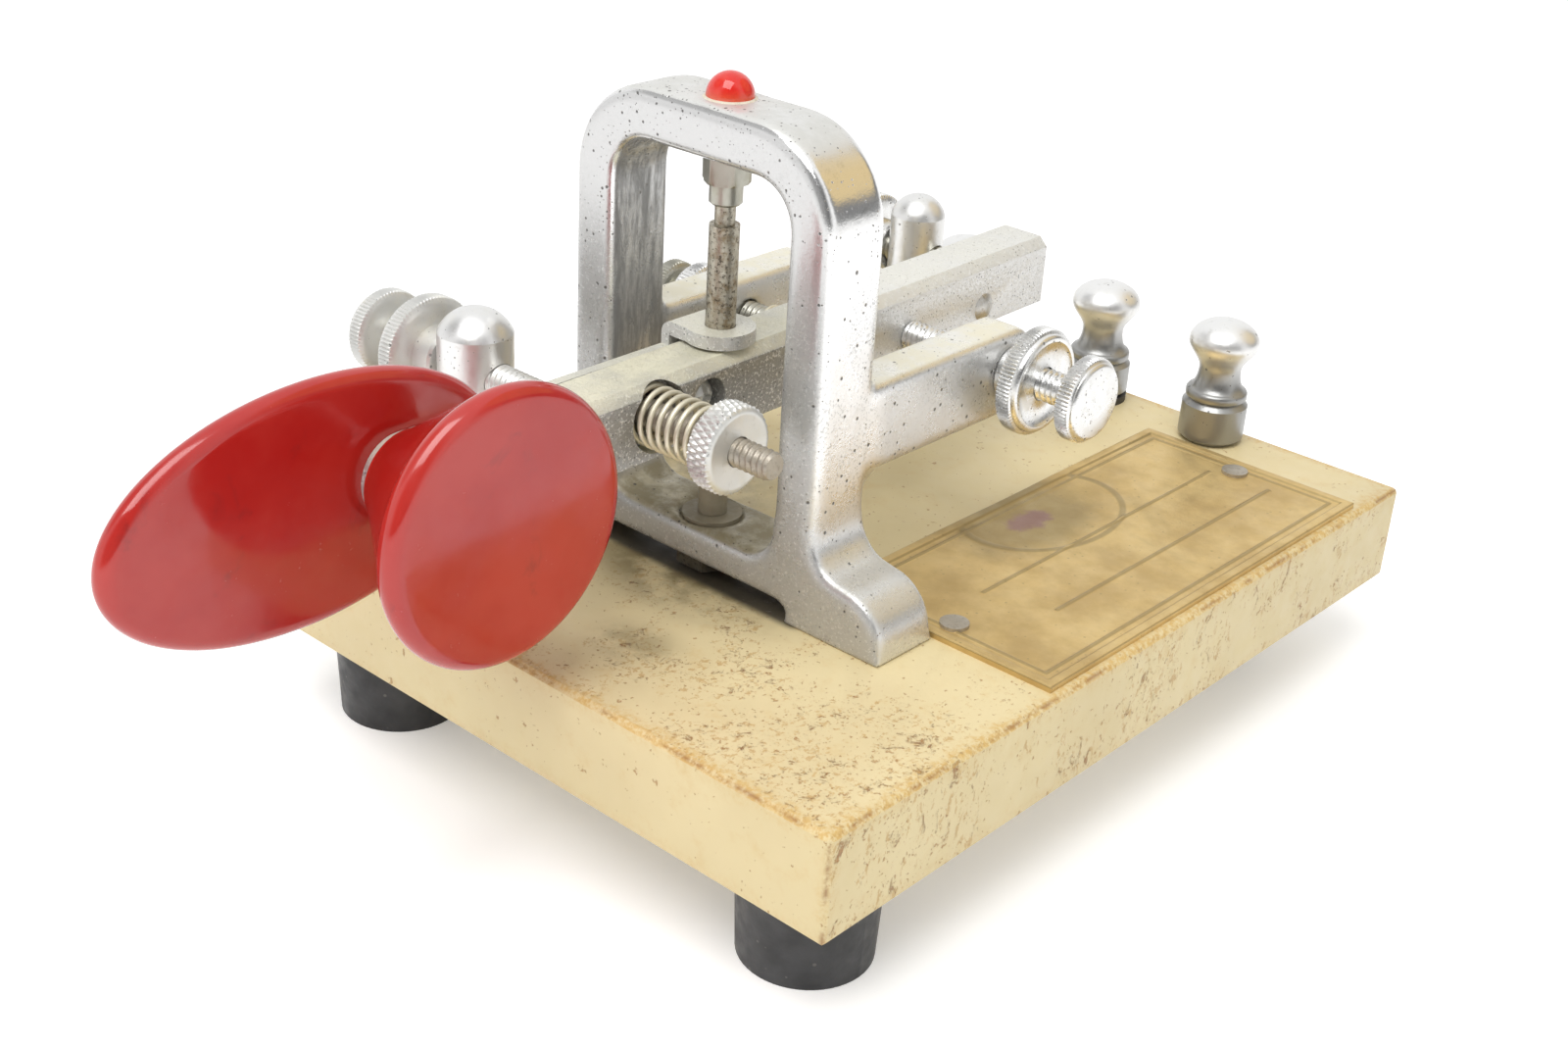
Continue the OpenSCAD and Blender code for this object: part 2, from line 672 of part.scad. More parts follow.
// Outline of the cross-bar and the flared feet, in X and Z
module frame_foot_outline() {
    undercut_w = window_w + 2 * undercut_reach;
    difference() {
        union() {
            translate([-toe_x, 0]) square([2 * toe_x, bar_h]);
            for (s = [0, 1]) mirror([s, 0]) {
                translate([leg_in, 0]) square([toe_x - leg_in, toe_h]);
                translate([leg_in, 0]) square([leg_t, leg_foot_h]);
                translate([leg_out, toe_h]) fillet(flare_r);
                translate([leg_in, bar_h]) mirror([1, 0]) fillet(window_r);
                translate([toe_x, 0]) square([toe_r, toe_h - toe_r]);
                translate([toe_x, toe_h - toe_r]) intersection() {
                    circle(toe_r);
                    square(toe_r);
                }
            }
        }
        intersection() {
            round_rect(undercut_w, 2 * undercut_h, undercut_h * 0.8);
            translate([-undercut_w, -cut]) square([2 * undercut_w, undercut_h + cut]);
        }
    }
}

// Arch of one rounded section: two legs, two shoulders and the crown
module arch() {
    mid_r = shoulder_r - leg_t / 2;
    shoulder_x = leg_out - shoulder_r;
    for (s = [0, 1]) mirror([s, 0, 0]) {
        translate([leg_in + leg_t / 2, 0, leg_foot_h]) linear_extrude(shoulder_h - leg_foot_h)
            round_rect(leg_t, frame_d, arch_edge_r);
        translate([shoulder_x, 0, shoulder_h]) rotate([90, 0, 0]) rotate_extrude(angle = 90)
            translate([mid_r, 0]) round_rect(leg_t, frame_d, arch_edge_r);
    }
    translate([-shoulder_x, 0, crown_h - leg_t / 2]) rotate([0, 90, 0]) linear_extrude(2 * shoulder_x)
        round_rect(leg_t, frame_d, arch_edge_r);
}

// Arm behind the right leg, with a rounded end and a fillet below
module arm() {
    intersection() {
        pull_x(leg_in, leg_out) difference() {
            translate([0, arm_top_h - arm_h]) square([arm_end, arm_h]);
            translate([arm_end, arm_top_h]) mirror([0, 1]) mirror([1, 0]) fillet(arm_end_r);
            translate([arm_end, arm_top_h - arm_h]) mirror([1, 0]) fillet(arm_end_r);
        }
        translate([leg_in + leg_t / 2, arm_end / 2, arm_top_h - arm_h / 2]) pull_y(arm_end)
            round_rect(leg_t, arm_h, arch_edge_r);
    }
    pull_x(leg_in + arch_edge_r, leg_out - arch_edge_r)
        translate([frame_d / 2, arm_top_h - arm_h]) mirror([0, 1]) fillet(arm_fillet_r);
}

// Casting: arch, flared feet, cross-bar and two arms
module frame() {
    color("gainsboro") at_pivot() difference() {
        union() {
            pull_y(frame_d) frame_foot_outline();
            arch();
            for (s = [0, 1]) mirror([s, 0, 0]) arm();
        }
        translate([0, 0, crown_under_h - cut]) cylinder(d = bearing_d + 2 * hole_fit, h = leg_t + 2 * cut);
        translate([0, 0, crown_h - jewel_seat]) cylinder(d = jewel_d + 2 * hole_fit, h = jewel_seat + cut);
        cylinder(d = bearing_d + 2 * hole_fit, h = bar_h + cut);
        translate([0, 0, flange_low_h])
            cylinder(d = bearing_flange_d + 2 * hole_fit, h = bearing_flange_t + cut);
        for (s = [-1, 1]) {
            translate([s * frame_screw_x, 0, -cut])
                cylinder(d = frame_screw_d + 2 * hole_fit, h = frame_screw_grip + hole_fit + cut);
        }
        bar_x(screw_d + 2 * run_fit, leg_in - cut, leg_out + cut, arm_screw_back, axis_h);
        bar_x(screw_d + 2 * run_fit, -leg_out - cut, -leg_in + cut, return_back, axis_h);
    }
}

module frame_screws() {
    color("silver") at_pivot() for (s = [-1, 1])
        translate([s * frame_screw_x, 0, frame_screw_head_t + nut_room - base_t]) {
            cylinder(d = frame_screw_d, h = base_t - frame_screw_head_t - nut_room + frame_screw_grip);
            translate([0, 0, -frame_screw_head_t]) rimmed_disc(frame_screw_head_d, frame_screw_head_t);
        }
}

// Cup under the crown: shank in the crown, hexagon and collar below
module upper_bearing() {
    color("silver") at_pivot() difference() {
        union() {
            translate([0, 0, collar_low_h]) cylinder(d = collar_d, h = collar_l + cut);
            translate([0, 0, collar_low_h + collar_l])
                cylinder(d = bearing_hex_w / cos(30), h = bearing_hex_t, $fn = 6);
            translate([0, 0, crown_under_h - cut]) cylinder(d = bearing_d, h = leg_t - jewel_seat + cut);
        }
        translate([0, 0, collar_low_h - cut])
            cylinder(d = pivot_d + 2 * run_fit, h = pivot_grip + cut + hole_fit);
    }
}

// Cup in the cross-bar: flange sunk flush with its top, shank through the bar
module lower_bearing() {
    shank_low = undercut_h - bearing_nut_t;
    color("silver") at_pivot() difference() {
        union() {
            translate([0, 0, flange_low_h]) cylinder(d = bearing_flange_d, h = bearing_flange_t);
            translate([0, 0, shank_low]) cylinder(d = bearing_d, h = flange_low_h - shank_low + cut);
        }
        translate([0, 0, pivot_low_h - hole_fit]) cylinder(d = pivot_d + 2 * run_fit, h = pivot_grip + cut);
    }
}

module lower_bearing_nut() {
    color("dimgray") at_pivot() translate([0, 0, undercut_h - bearing_nut_t])
        hex_nut(bearing_nut_w, bearing_nut_t, bearing_d + 2 * hole_fit);
}

module jewel() {
    color("red") at_pivot() {
        translate([0, 0, crown_h - jewel_seat]) cylinder(d = jewel_d, h = jewel_seat);
        translate([0, 0, crown_h]) dome(jewel_d, jewel_h);
    }
}

// Plain plate with a raised rim
module nameplate() {
    field_w = plate_w - 2 * plate_rim_w;
    field_l = plate_l - 2 * plate_rim_w;
    color("goldenrod") translate([plate_x, (plate_front + plate_rear) / 2, base_top_z]) difference() {
        linear_extrude(plate_t + plate_rim_h) square([plate_w, plate_l], center = true);
        translate([0, 0, plate_t]) linear_extrude(plate_rim_h + cut)
            square([field_w, field_l], center = true);
        for (s = [-1, 1]) translate([0, s * (plate_l / 2 - plate_pin_inset), -cut])
            cylinder(d = plate_pin_d + 2 * hole_fit, h = plate_t + 2 * cut);
    }
}

module nameplate_pins() {
    color("silver") at_each([for (y = plate_pin_y) [plate_x, y]], base_top_z + plate_t) {
        translate([0, 0, -plate_t - plate_pin_grip]) cylinder(d = plate_pin_d, h = plate_t + plate_pin_grip);
        dome(plate_pin_head_d, plate_pin_head_t);
    }
}

// Dome-topped post with a cross hole for its screw and a stud below
module post(place, hole_h, d) {
    stud_low_z = nut_top_z - post_nut_t;
    translate([place[0], place[1], 0]) difference() {
        union() {
            translate([0, 0, base_top_z + flange_t]) cylinder(d = d, h = post_h - post_cap_h - flange_t);
            translate([0, 0, base_top_z + post_h - post_cap_h]) dome(d, post_cap_h);
            translate([0, 0, stud_low_z])
                cylinder(d = post_stud_d, h = base_top_z + flange_t - stud_low_z + cut);
        }
        bar_x(screw_d + 2 * run_fit, -d, d, 0, base_top_z + hole_h);
    }
}

module dash_post() { color("lightgray") post(dash_post_place, dash_h, post_d); }

module dot_post() { color("lightgray") post(dot_post_place, axis_h, dot_post_d); }

// Flanged bush: flange on the slab, sleeve down to the recess
module insulator(flange_d, bush_d, bore) {
    difference() {
        union() {
            translate([0, 0, base_top_z]) cylinder(d = flange_d, h = flange_t);
            translate([0, 0, recess_roof_z]) cylinder(d = bush_d, h = base_top_z - recess_roof_z + flange_t);
        }
        cylinder(d = bore, h = base_top_z + flange_t + cut);
    }
}

module post_insulators() {
    color("black") at_each(insulated_posts, 0)
        insulator(post_flange_d, post_bush_d, post_stud_d + 2 * hole_fit);
}

module terminal_insulators() {
    color("black") at_each(insulated_terminals, 0)
        insulator(terminal_d, terminal_bush_d, terminal_stud_d + 2 * hole_fit);
}

// Insulating washers between the slab and the straps
module under_washer(d, bore) {
    translate([0, 0, strap_top_z]) difference() {
        cylinder(d = d, h = under_washer_t);
        translate([0, 0, -cut]) cylinder(d = bore, h = under_washer_t + 2 * cut);
    }
}

module under_washers() {
    color("black") {
        at_each(insulated_posts, 0) under_washer(post_recess_d - 2 * nut_room, post_stud_d + 2 * hole_fit);
        at_each(terminals, 0) under_washer(terminal_recess_d - nut_room, terminal_stud_d + 2 * hole_fit);
    }
}

module post_nuts() {
    color("goldenrod") at_each(insulated_posts, nut_top_z - post_nut_t)
        hex_nut(post_nut_w, post_nut_t, post_stud_d + 2 * hole_fit);
}

// The right terminal has no strap, so its nut sits one strap higher
module terminal_nuts() {
    color("goldenrod") {
        at_each(insulated_terminals, nut_top_z - terminal_nut_t)
            hex_nut(terminal_nut_w, terminal_nut_t, terminal_stud_d + 2 * hole_fit);
        at_each([terminal_right], strap_top_z - terminal_nut_t)
            hex_nut(terminal_nut_w, terminal_nut_t, terminal_stud_d + 2 * hole_fit);
    }
}

// Collar with a stud through it; the insulated ones stand on a flange
module terminal_stud(foot_z) {
    stud_low_z = nut_top_z - terminal_nut_t;
    stud_top_z = base_top_z + flange_t + terminal_collar_h + terminal_knob_h - terminal_top_h;
    translate([0, 0, stud_low_z]) cylinder(d = terminal_stud_d, h = stud_top_z - stud_low_z);
    translate([0, 0, foot_z]) rimmed_disc(terminal_d, base_top_z + flange_t + terminal_collar_h - foot_z);
}

module terminal_studs() {
    color("lightgray") {
        at_each(insulated_terminals, 0) terminal_stud(base_top_z + flange_t);
        at_each([terminal_right], 0) terminal_stud(base_top_z);
    }
}

// Clamping knob: skirt, waist and round top
module terminal_knob(place) {
    waist_r = terminal_waist_d / 2;
    waist_h = terminal_knob_h - terminal_skirt_h - terminal_top_h / 2;
    top_r = terminal_top_h / 2;
    low_z = base_top_z + flange_t + terminal_collar_h + seat_gap;
    color("lightgray") translate([place[0], place[1], low_z]) difference() {
        rotate_extrude() {
            square([terminal_d / 2 - 0.3, terminal_skirt_h]);
            square([waist_r, terminal_knob_h - top_r]);
            translate([waist_r, terminal_skirt_h]) intersection() {
                fillet(waist_h);
                square([terminal_d / 2 - 0.3 - waist_r, waist_h]);
            }
            translate([0, terminal_knob_h - terminal_top_h])
                square([terminal_top_d / 2 - top_r, terminal_top_h]);
            translate([terminal_top_d / 2 - top_r, terminal_knob_h - top_r]) intersection() {
                circle(top_r);
                translate([0, -top_r]) square([top_r, 2 * top_r]);
            }
        }
        translate([0, 0, -cut]) cylinder(d = terminal_stud_d + 2 * run_fit,
            h = terminal_knob_h - terminal_top_h + cut + hole_fit);
    }
}

module terminal_knob_left() { terminal_knob(terminal_left); }

module terminal_knob_mid() { terminal_knob(terminal_mid); }

module terminal_knob_right() { terminal_knob(terminal_right); }

// Strap with an eye at each end, under the slab
module strap(post_place, terminal_place) {
    eye_post_d = post_nut_w;
    eye_terminal_d = terminal_nut_w;
    translate([0, 0, nut_top_z]) difference() {
        union() {
            link(post_place, terminal_place, strap_w, strap_t);
            at_each([post_place], 0) cylinder(d = eye_post_d, h = strap_t);
            at_each([terminal_place], 0) cylinder(d = eye_terminal_d, h = strap_t);
        }
        at_each([post_place], -cut) cylinder(d = post_stud_d + 2 * hole_fit, h = strap_t + 2 * cut);
        at_each([terminal_place], -cut) cylinder(d = terminal_stud_d + 2 * hole_fit, h = strap_t + 2 * cut);
    }
}

module dash_strap() { color("goldenrod") strap(dash_post_place, terminal_mid); }

module dot_strap() { color("goldenrod") strap(dot_post_place, terminal_left); }

// Cast bar with chamfered top edges, drilled for the pin, the stud, the screws and the springs
module main_lever() {
    top_half = lever_side - lever_chamfer;
    color("silver") at_pivot() difference() {
        multmatrix([[1, 0, 0, 0], [0, 1, 0, 0], [0, lever_rise, 1, 0], [0, 0, 0, 1]])
            translate([0, (lever_rear - lever_front) / 2, 0]) pull_y(lever_rear + lever_front) polygon([
                [-lever_side, lever_low], [lever_side, lever_low], [lever_side, lever_top - lever_chamfer],
                [top_half, lever_top], [-top_half, lever_top], [-lever_side, lever_top - lever_chamfer]
            ]);
        translate([0, 0, lever_low - ear_rise - cut])
            cylinder(d = pin_d + 2 * run_fit, h = lever_h + 2 * ear_rise + 2 * cut);
        bar_x(stud_d + 2 * stud_room, -lever_side - cut, lever_side + cut, -spring_ahead, lever_mid_h);
        bar_x(pocket_d, spring_seat, lever_side + cut, -spring_ahead, lever_mid_h);
        bar_x(clamp_d + 2 * hole_fit, -lever_side - cut, lever_side + cut, -clamp_ahead, lever_mid_h);
        bar_x(clamp_bore_d, lever_side - clamp_bore_l, lever_side + cut, -clamp_ahead, lever_mid_h);
        bar_x(return_pocket_d, -lever_side - cut, return_seat, return_back, axis_h);
        bar_x(rivet_d + 2 * hole_fit, -lever_side - cut, lever_side + cut, rivet_back, axis_h);
    }
}

// Vertical pin with a shoulder and a pivot at each end
module trunnion_pin() {
    color("darkgray") at_pivot() {
        translate([0, 0, pin_low_h]) cylinder(d = pin_d, h = pin_shoulder_h - pin_low_h);
        translate([0, 0, pivot_low_h]) cylinder(d = pivot_d, h = pivot_top_h - pivot_low_h);
    }
}

module clamp_screw() {
    seat = lever_side - clamp_bore_l;
    color("gray") at_pivot() translate([seat, -clamp_ahead, lever_mid_h]) rotate([0, 90, 0]) {
        dome(clamp_head_d, clamp_head_t);
        translate([0, 0, -lever_side - seat]) cylinder(d = clamp_d, h = lever_side + seat + cut);
    }
}

// Leaf on the lever's left side, with the contact button at its rear
module dot_contact() {
    color("goldenrod") at_pivot() difference() {
        union() {
            pull_x(-lever_side - leaf_t, -lever_side) translate([leaf_front, axis_h - leaf_h / 2])
                square([dot_post_back + leaf_h / 2 - leaf_front, leaf_h]);
            bar_x(contact_d, dot_contact_x, -lever_side - leaf_t / 2, dot_post_back, axis_h);
        }
        bar_x(rivet_d + 2 * hole_fit, -lever_side - leaf_t - cut, -lever_side + cut, rivet_back, axis_h);
    }
}

module leaf_rivet() {
    left = -lever_side - leaf_t;
    color("gray") at_pivot() {
        bar_x(rivet_d, left - cut / 2, lever_side + cut / 2, rivet_back, axis_h);
        translate([lever_side, rivet_back, axis_h]) rotate([0, 90, 0]) dome(rivet_head_d, rivet_head_t);
        translate([left, rivet_back, axis_h]) rotate([0, -90, 0]) dome(rivet_head_d, rivet_head_t);
    }
}

// Bend of the dash lever round the main lever's left side, from one eye to the other
module ear_bend() {
    tall = ear_top + ear_t - ear_low;
    pull_y(ear_tab_w) difference() {
        translate([0, ear_low + tall / 2]) round_rect(-2 * strip_out, tall, ear_bend_r);
        translate([strip_in, ear_low + ear_t]) square([2 * lever_w, tall - 2 * ear_t]);
        translate([0, ear_low - cut]) square([lever_w, tall + 2 * cut]);
    }
}

// Strip beside the main lever, with a round front end and two eyes on the pin
module dash_lever() {
    strip_low = axis_h - strip_h / 2;
    color("silver") at_pivot() difference() {
        union() {
            pull_x(strip_out, strip_in) {
                translate([-knob_ahead, axis_h]) circle(d = strip_h);
                translate([-knob_ahead, strip_low]) square([knob_ahead, strip_h]);
            }
            ear_bend();
            for (z = [ear_low, ear_top]) translate([0, 0, z]) cylinder(d = ear_d, h = ear_t);
        }
        translate([0, 0, ear_low - cut])
            cylinder(d = pin_d + 2 * run_fit, h = ear_top + ear_t - ear_low + 2 * cut);
        bar_x(paddle_screw_d + 2 * hole_fit, strip_out - cut, strip_in + cut, -knob_ahead, axis_h);
        bar_x(stud_d + 2 * hole_fit, strip_out - cut, strip_in + cut, -spring_ahead, lever_mid_h);
        bar_x(rivet_d + 2 * hole_fit, strip_out - cut, strip_in + cut, -dash_post_ahead, dash_h);
    }
}

module dash_contact() {
    color("goldenrod") at_pivot() {
        bar_x(rivet_d, strip_out - cut, strip_in, -dash_post_ahead, dash_h);
        bar_x(contact_d, dash_contact_x, strip_out, -dash_post_ahead, dash_h);
    }
}

// Trumpet-shaped knob: stem, flare and rounded rim
module finger_knob() {
    rim_low = knob_stem_l + knob_flare_r;
    color("firebrick") at_pivot() translate([strip_in, -knob_ahead, axis_h]) rotate([0, 90, 0]) difference() {
        rotate_extrude() {
            square([knob_stem_d / 2, knob_l]);
            translate([knob_stem_d / 2, rim_low]) mirror([0, 1]) intersection() {
                fillet(knob_flare_r);
                square([knob_flare_r - knob_edge_r, knob_flare_r]);
            }
            translate([0, rim_low]) square([knob_d / 2 - knob_edge_r, knob_rim_t]);
            translate([0, rim_low + knob_edge_r]) square([knob_d / 2, knob_rim_t - 2 * knob_edge_r]);
            for (z = [rim_low + knob_edge_r, knob_l - knob_edge_r])
                translate([knob_d / 2 - knob_edge_r, z]) circle(knob_edge_r);
        }
        translate([0, 0, -cut])
            cylinder(d = paddle_screw_d + 2 * hole_fit, h = paddle_screw_grip + hole_fit + cut);
    }
}

// Oval plate: level rings of points, each drawn in along a half circle for the rounded edge
function paddle_ring(i, edge) = let (lean = i * 180 / paddle_rings - 90, inset = edge * (1 - cos(lean)))
    [for (k = [0:paddle_sides - 1]) let (turn = k * 360 / paddle_sides)
        [(paddle_l / 2 - inset) * cos(turn), (paddle_h / 2 - inset) * sin(turn), edge * (1 + sin(lean))]];

module paddle_blank() {
    n = paddle_sides;
    low = n * (paddle_rings + 1);
    points = [for (i = [0:paddle_rings]) each paddle_ring(i, paddle_t / 2)];
    edge_faces = [for (i = [0:paddle_rings - 1], k = [0:n - 1]) let (a = n * i + k, b = n * i + (k + 1) % n)
        each [[a, a + n, b], [b, a + n, b + n]]];
    end_faces = [for (k = [0:n - 1]) let (m = (k + 1) % n)
        each [[low, k, m], [low + 1, low - n + m, low - n + k]]];
    polyhedron(concat(points, [[0, 0, 0], [0, 0, paddle_t]]), concat(edge_faces, end_faces));
}

// Paddle against the strip's left face, drooping a little at the front
module thumb_paddle() {
    color("firebrick") at_pivot() difference() {
        translate([strip_out, -knob_ahead - paddle_lead, axis_h - paddle_drop]) rotate([paddle_droop, 0, 0])
            rotate([90, 0, -90]) paddle_blank();
        bar_x(paddle_screw_d + 2 * hole_fit, paddle_out - cut, strip_out + cut, -knob_ahead, axis_h);
    }
}

module paddle_screw() {
    color("silver") at_pivot() {
        bar_x(paddle_screw_d, paddle_out, strip_in + paddle_screw_grip, -knob_ahead, axis_h);
        translate([paddle_out, -knob_ahead, axis_h]) rotate([0, -90, 0])
            dome(paddle_screw_head_d, paddle_screw_head_t);
    }
}

module spring_stud() {
    color("darkgray") at_pivot() {
        bar_x(stud_d, strip_out, stud_end, -spring_ahead, lever_mid_h);
        bar_x(stud_head_d, strip_out - stud_head_t, strip_out, -spring_ahead, lever_mid_h);
    }
}

module dash_spring() {
    color("khaki") at_pivot() translate([spring_seat, -spring_ahead, lever_mid_h]) rotate([0, 90, 0])
        coil(spring_d, spring_wire, spring_l, spring_turns, "dash spring");
}

module spring_nut() {
    place = [nut_in + seat_gap, -spring_ahead, lever_mid_h];
    color("lightgray") at_pivot() translate(place) rotate([0, 90, 0]) difference() {
        rimmed_disc(spring_nut_d, spring_nut_t);
        translate([0, 0, -cut]) cylinder(d = stud_d + 2 * run_fit, h = spring_nut_t + 2 * cut);
    }
}

module return_spring() {
    color("khaki") at_pivot() translate([return_seat, return_back, axis_h]) rotate([0, -90, 0])
        coil(return_d, return_wire, return_gap + return_pocket_l, return_turns, "return spring");
}

// Screw with a disc head, along +Z from its tip
module adjusting_screw(l, d = head_d) {
    cylinder(d = screw_d, h = l);
    translate([0, 0, l - head_t]) rimmed_disc(d, head_t);
}

// Disc with a hub towards its seat, along +Z from the seat
module lock_nut(hub_l, d = lock_nut_d) {
    difference() {
        union() {
            cylinder(d = hub_d, h = hub_l + cut);
            translate([0, 0, hub_l]) rimmed_disc(d, lock_nut_t);
        }
        translate([0, 0, -cut]) cylinder(d = screw_d + 2 * run_fit, h = hub_l + lock_nut_t + 2 * cut);
    }
}

// Length from a lock nut's seat to the end of the head
function screw_over(hub_l, free_l = free_thread_l) = seat_gap + hub_l + lock_nut_t + free_l + head_t;

// Moves along X from the trunnion axis, with +Z turned to the right or the left
module on_right(x, y) { at_pivot() translate([x, y, axis_h]) rotate([0, 90, 0]) children(); }
module on_left(x, y, h = axis_h) { at_pivot() translate([-x, y, h]) rotate([0, -90, 0]) children(); }

module stop_screw() {
    color("lightgray") on_right(stop_tip, arm_screw_back)
        adjusting_screw(leg_out - stop_tip + screw_over(arm_hub_l));
}

module stop_lock_nut() {
    color("lightgray") on_right(leg_out + seat_gap, arm_screw_back) lock_nut(arm_hub_l);
}

module spring_screw() {
    color("lightgray") on_left(return_shoulder + seat_gap, return_back) {
        adjusting_screw(leg_out - return_shoulder - seat_gap + screw_over(return_hub_l, return_free_l),
            return_head_d);
        translate([0, 0, -spigot_l]) cylinder(d = spigot_d, h = spigot_l + cut);
    }
}

module spring_lock_nut() {
    color("lightgray") on_left(leg_out + seat_gap, return_back) lock_nut(return_hub_l, return_lock_d);
}

// Screw with a contact tip, in a post
module contact_screw(tip, post_out, y, h, d) {
    seat = post_out + d / 2;
    on_left(tip, y, h) {
        cylinder(d = tip_d, h = tip_l + cut);
        translate([0, 0, tip_l]) adjusting_screw(seat - tip - tip_l + screw_over(post_hub_l));
    }
}

module dash_screw() {
    color("lightgray") contact_screw(dash_tip, dash_post_out, -dash_post_ahead, dash_h, post_d);
}

module dash_lock_nut() {
    color("lightgray") on_left(dash_post_out + post_d / 2 + seat_gap, -dash_post_ahead, dash_h)
        lock_nut(post_hub_l);
}

module dot_screw() {
    color("lightgray") contact_screw(dot_tip, dot_post_out, dot_post_back, axis_h, dot_post_d);
}

module dot_lock_nut() {
    color("lightgray") on_left(dot_post_out + dot_post_d / 2 + seat_gap, dot_post_back)
        lock_nut(post_hub_l);
}

base();
rubber_feet();
foot_screws();
frame();
frame_screws();
upper_bearing();
lower_bearing();
lower_bearing_nut();
jewel();
nameplate();
nameplate_pins();
dash_post();
dot_post();
post_insulators();
under_washers();
post_nuts();
terminal_studs();
terminal_insulators();
terminal_nuts();
dash_strap();
dot_strap();
main_lever();
trunnion_pin();
clamp_screw();
dot_contact();
leaf_rivet();
dash_lever();
dash_contact();
finger_knob();
thumb_paddle();
paddle_screw();
spring_stud();
dash_spring();
spring_nut();
return_spring();
stop_screw();
stop_lock_nut();
spring_screw();
spring_lock_nut();
dash_screw();
dash_lock_nut();
dot_screw();
dot_lock_nut();
terminal_knob_left();
terminal_knob_mid();
terminal_knob_right();
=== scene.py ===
import json
import math
import bmesh
import bpy
import numpy as np
from mathutils import Matrix, Vector

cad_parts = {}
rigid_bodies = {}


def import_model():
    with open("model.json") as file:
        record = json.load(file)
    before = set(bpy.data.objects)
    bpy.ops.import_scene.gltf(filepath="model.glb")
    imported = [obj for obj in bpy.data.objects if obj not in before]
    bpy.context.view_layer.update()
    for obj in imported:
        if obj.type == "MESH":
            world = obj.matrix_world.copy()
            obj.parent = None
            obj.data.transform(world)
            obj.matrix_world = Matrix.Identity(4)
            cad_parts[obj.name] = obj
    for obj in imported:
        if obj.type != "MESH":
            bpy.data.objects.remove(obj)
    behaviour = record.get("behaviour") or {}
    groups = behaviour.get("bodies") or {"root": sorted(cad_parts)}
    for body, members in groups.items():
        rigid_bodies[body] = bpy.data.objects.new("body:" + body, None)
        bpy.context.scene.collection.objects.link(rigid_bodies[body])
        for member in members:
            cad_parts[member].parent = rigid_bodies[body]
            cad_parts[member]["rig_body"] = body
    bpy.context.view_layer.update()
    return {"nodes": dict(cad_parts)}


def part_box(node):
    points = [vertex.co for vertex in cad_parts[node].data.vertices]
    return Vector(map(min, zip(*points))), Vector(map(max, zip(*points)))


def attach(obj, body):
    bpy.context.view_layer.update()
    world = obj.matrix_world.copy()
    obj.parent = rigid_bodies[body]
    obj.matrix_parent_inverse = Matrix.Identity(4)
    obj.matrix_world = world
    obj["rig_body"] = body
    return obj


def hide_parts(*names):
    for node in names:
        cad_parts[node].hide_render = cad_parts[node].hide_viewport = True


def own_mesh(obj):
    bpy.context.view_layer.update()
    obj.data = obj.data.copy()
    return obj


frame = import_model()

nodes = frame["nodes"]
mm = 0.001
tau = 2 * math.pi
print("frame loaded:", len(nodes), "nodes")


def span(node):
    low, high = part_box(node)
    return np.array(low), np.array(high)


def middle(node):
    low, high = span(node)
    return (low + high) / 2


def lathe(node, axis, way=1):
    # start of a turned piece, its length along the axis and its radius, the last two in mm
    low, high = span(node)
    origin = (low + high) / 2
    origin[axis] = low[axis] if way > 0 else high[axis]
    across = (axis + 1) % 3
    return origin, (high[axis] - low[axis]) / mm, (high[across] - low[across]) / 2 / mm


# camera where the photographer stood; the axes are squared up from the forward direction
cameraView = {"place": (0.14311, -0.16126, 0.13677), "forward": (-0.58045, 0.68043, -0.44733),
              "right": (0.74144, 0.66875, 0.05515), "lens": 47.3}


def placeCamera(s):
    forward = Vector(s["forward"]).normalized()
    right = Vector(s["right"])
    right = (right - forward * right.dot(forward)).normalized()
    up = right.cross(forward)
    data = bpy.data.cameras.new("camera")
    data.lens = s["lens"]
    data.sensor_width = 36
    data.sensor_fit = "HORIZONTAL"
    data.clip_start = 0.01
    camera = bpy.data.objects.new("camera", data)
    bpy.context.scene.collection.objects.link(camera)
    camera.matrix_world = Matrix([(right[i], up[i], -forward[i],
                                   s["place"][i]) for i in range(3)] + [(0, 0, 0, 1)])
    bpy.context.scene.camera = camera


placeCamera(cameraView)
bpy.context.scene.view_settings.view_transform = "Standard"
print("camera placed")

# Surfaces


def gridFaces(rows, cols, wrap, first):
    # quads between neighbouring rows and columns; the last column joins the first where the grid wraps
    i = np.arange(rows - 1)[:, None]
    j = np.arange(cols if wrap else cols - 1)[None, :]
    k = (j + 1) % cols
    corners = [i * cols + j, i * cols + k, (i + 1) * cols + k, (i + 1) * cols + j]
    return np.stack(corners, -1).reshape(-1, 4) + first


def putSurface(name, grids, wrap=True, sharp=40):
    points, faces, first = [], [], 0
    for grid in grids:
        rows, cols = grid.shape[:2]
        points.append(grid.reshape(-1, 3))
        faces.append(gridFaces(rows, cols, wrap, first))
        first += rows * cols
    mesh = bpy.data.meshes.new(name)
    mesh.from_pydata(np.concatenate(points).tolist(), [], np.concatenate(faces).tolist())
    return putMesh(name, mesh, sharp)


def smoothShade(mesh):
    mesh.polygons.foreach_set("use_smooth", np.ones(len(mesh.polygons), bool))


def putMesh(name, mesh, sharp=40, weld=5e-7):
    bm = bmesh.new()
    bm.from_mesh(mesh)
    bmesh.ops.remove_doubles(bm, verts=bm.verts, dist=weld)
    bmesh.ops.recalc_face_normals(bm, faces=bm.faces)
    bm.to_mesh(mesh)
    bm.free()
    smoothShade(mesh)
    mesh.set_sharp_from_angle(angle=math.radians(sharp))
    piece = bpy.data.objects.new(name, mesh)
    bpy.context.scene.collection.objects.link(piece)
    return piece


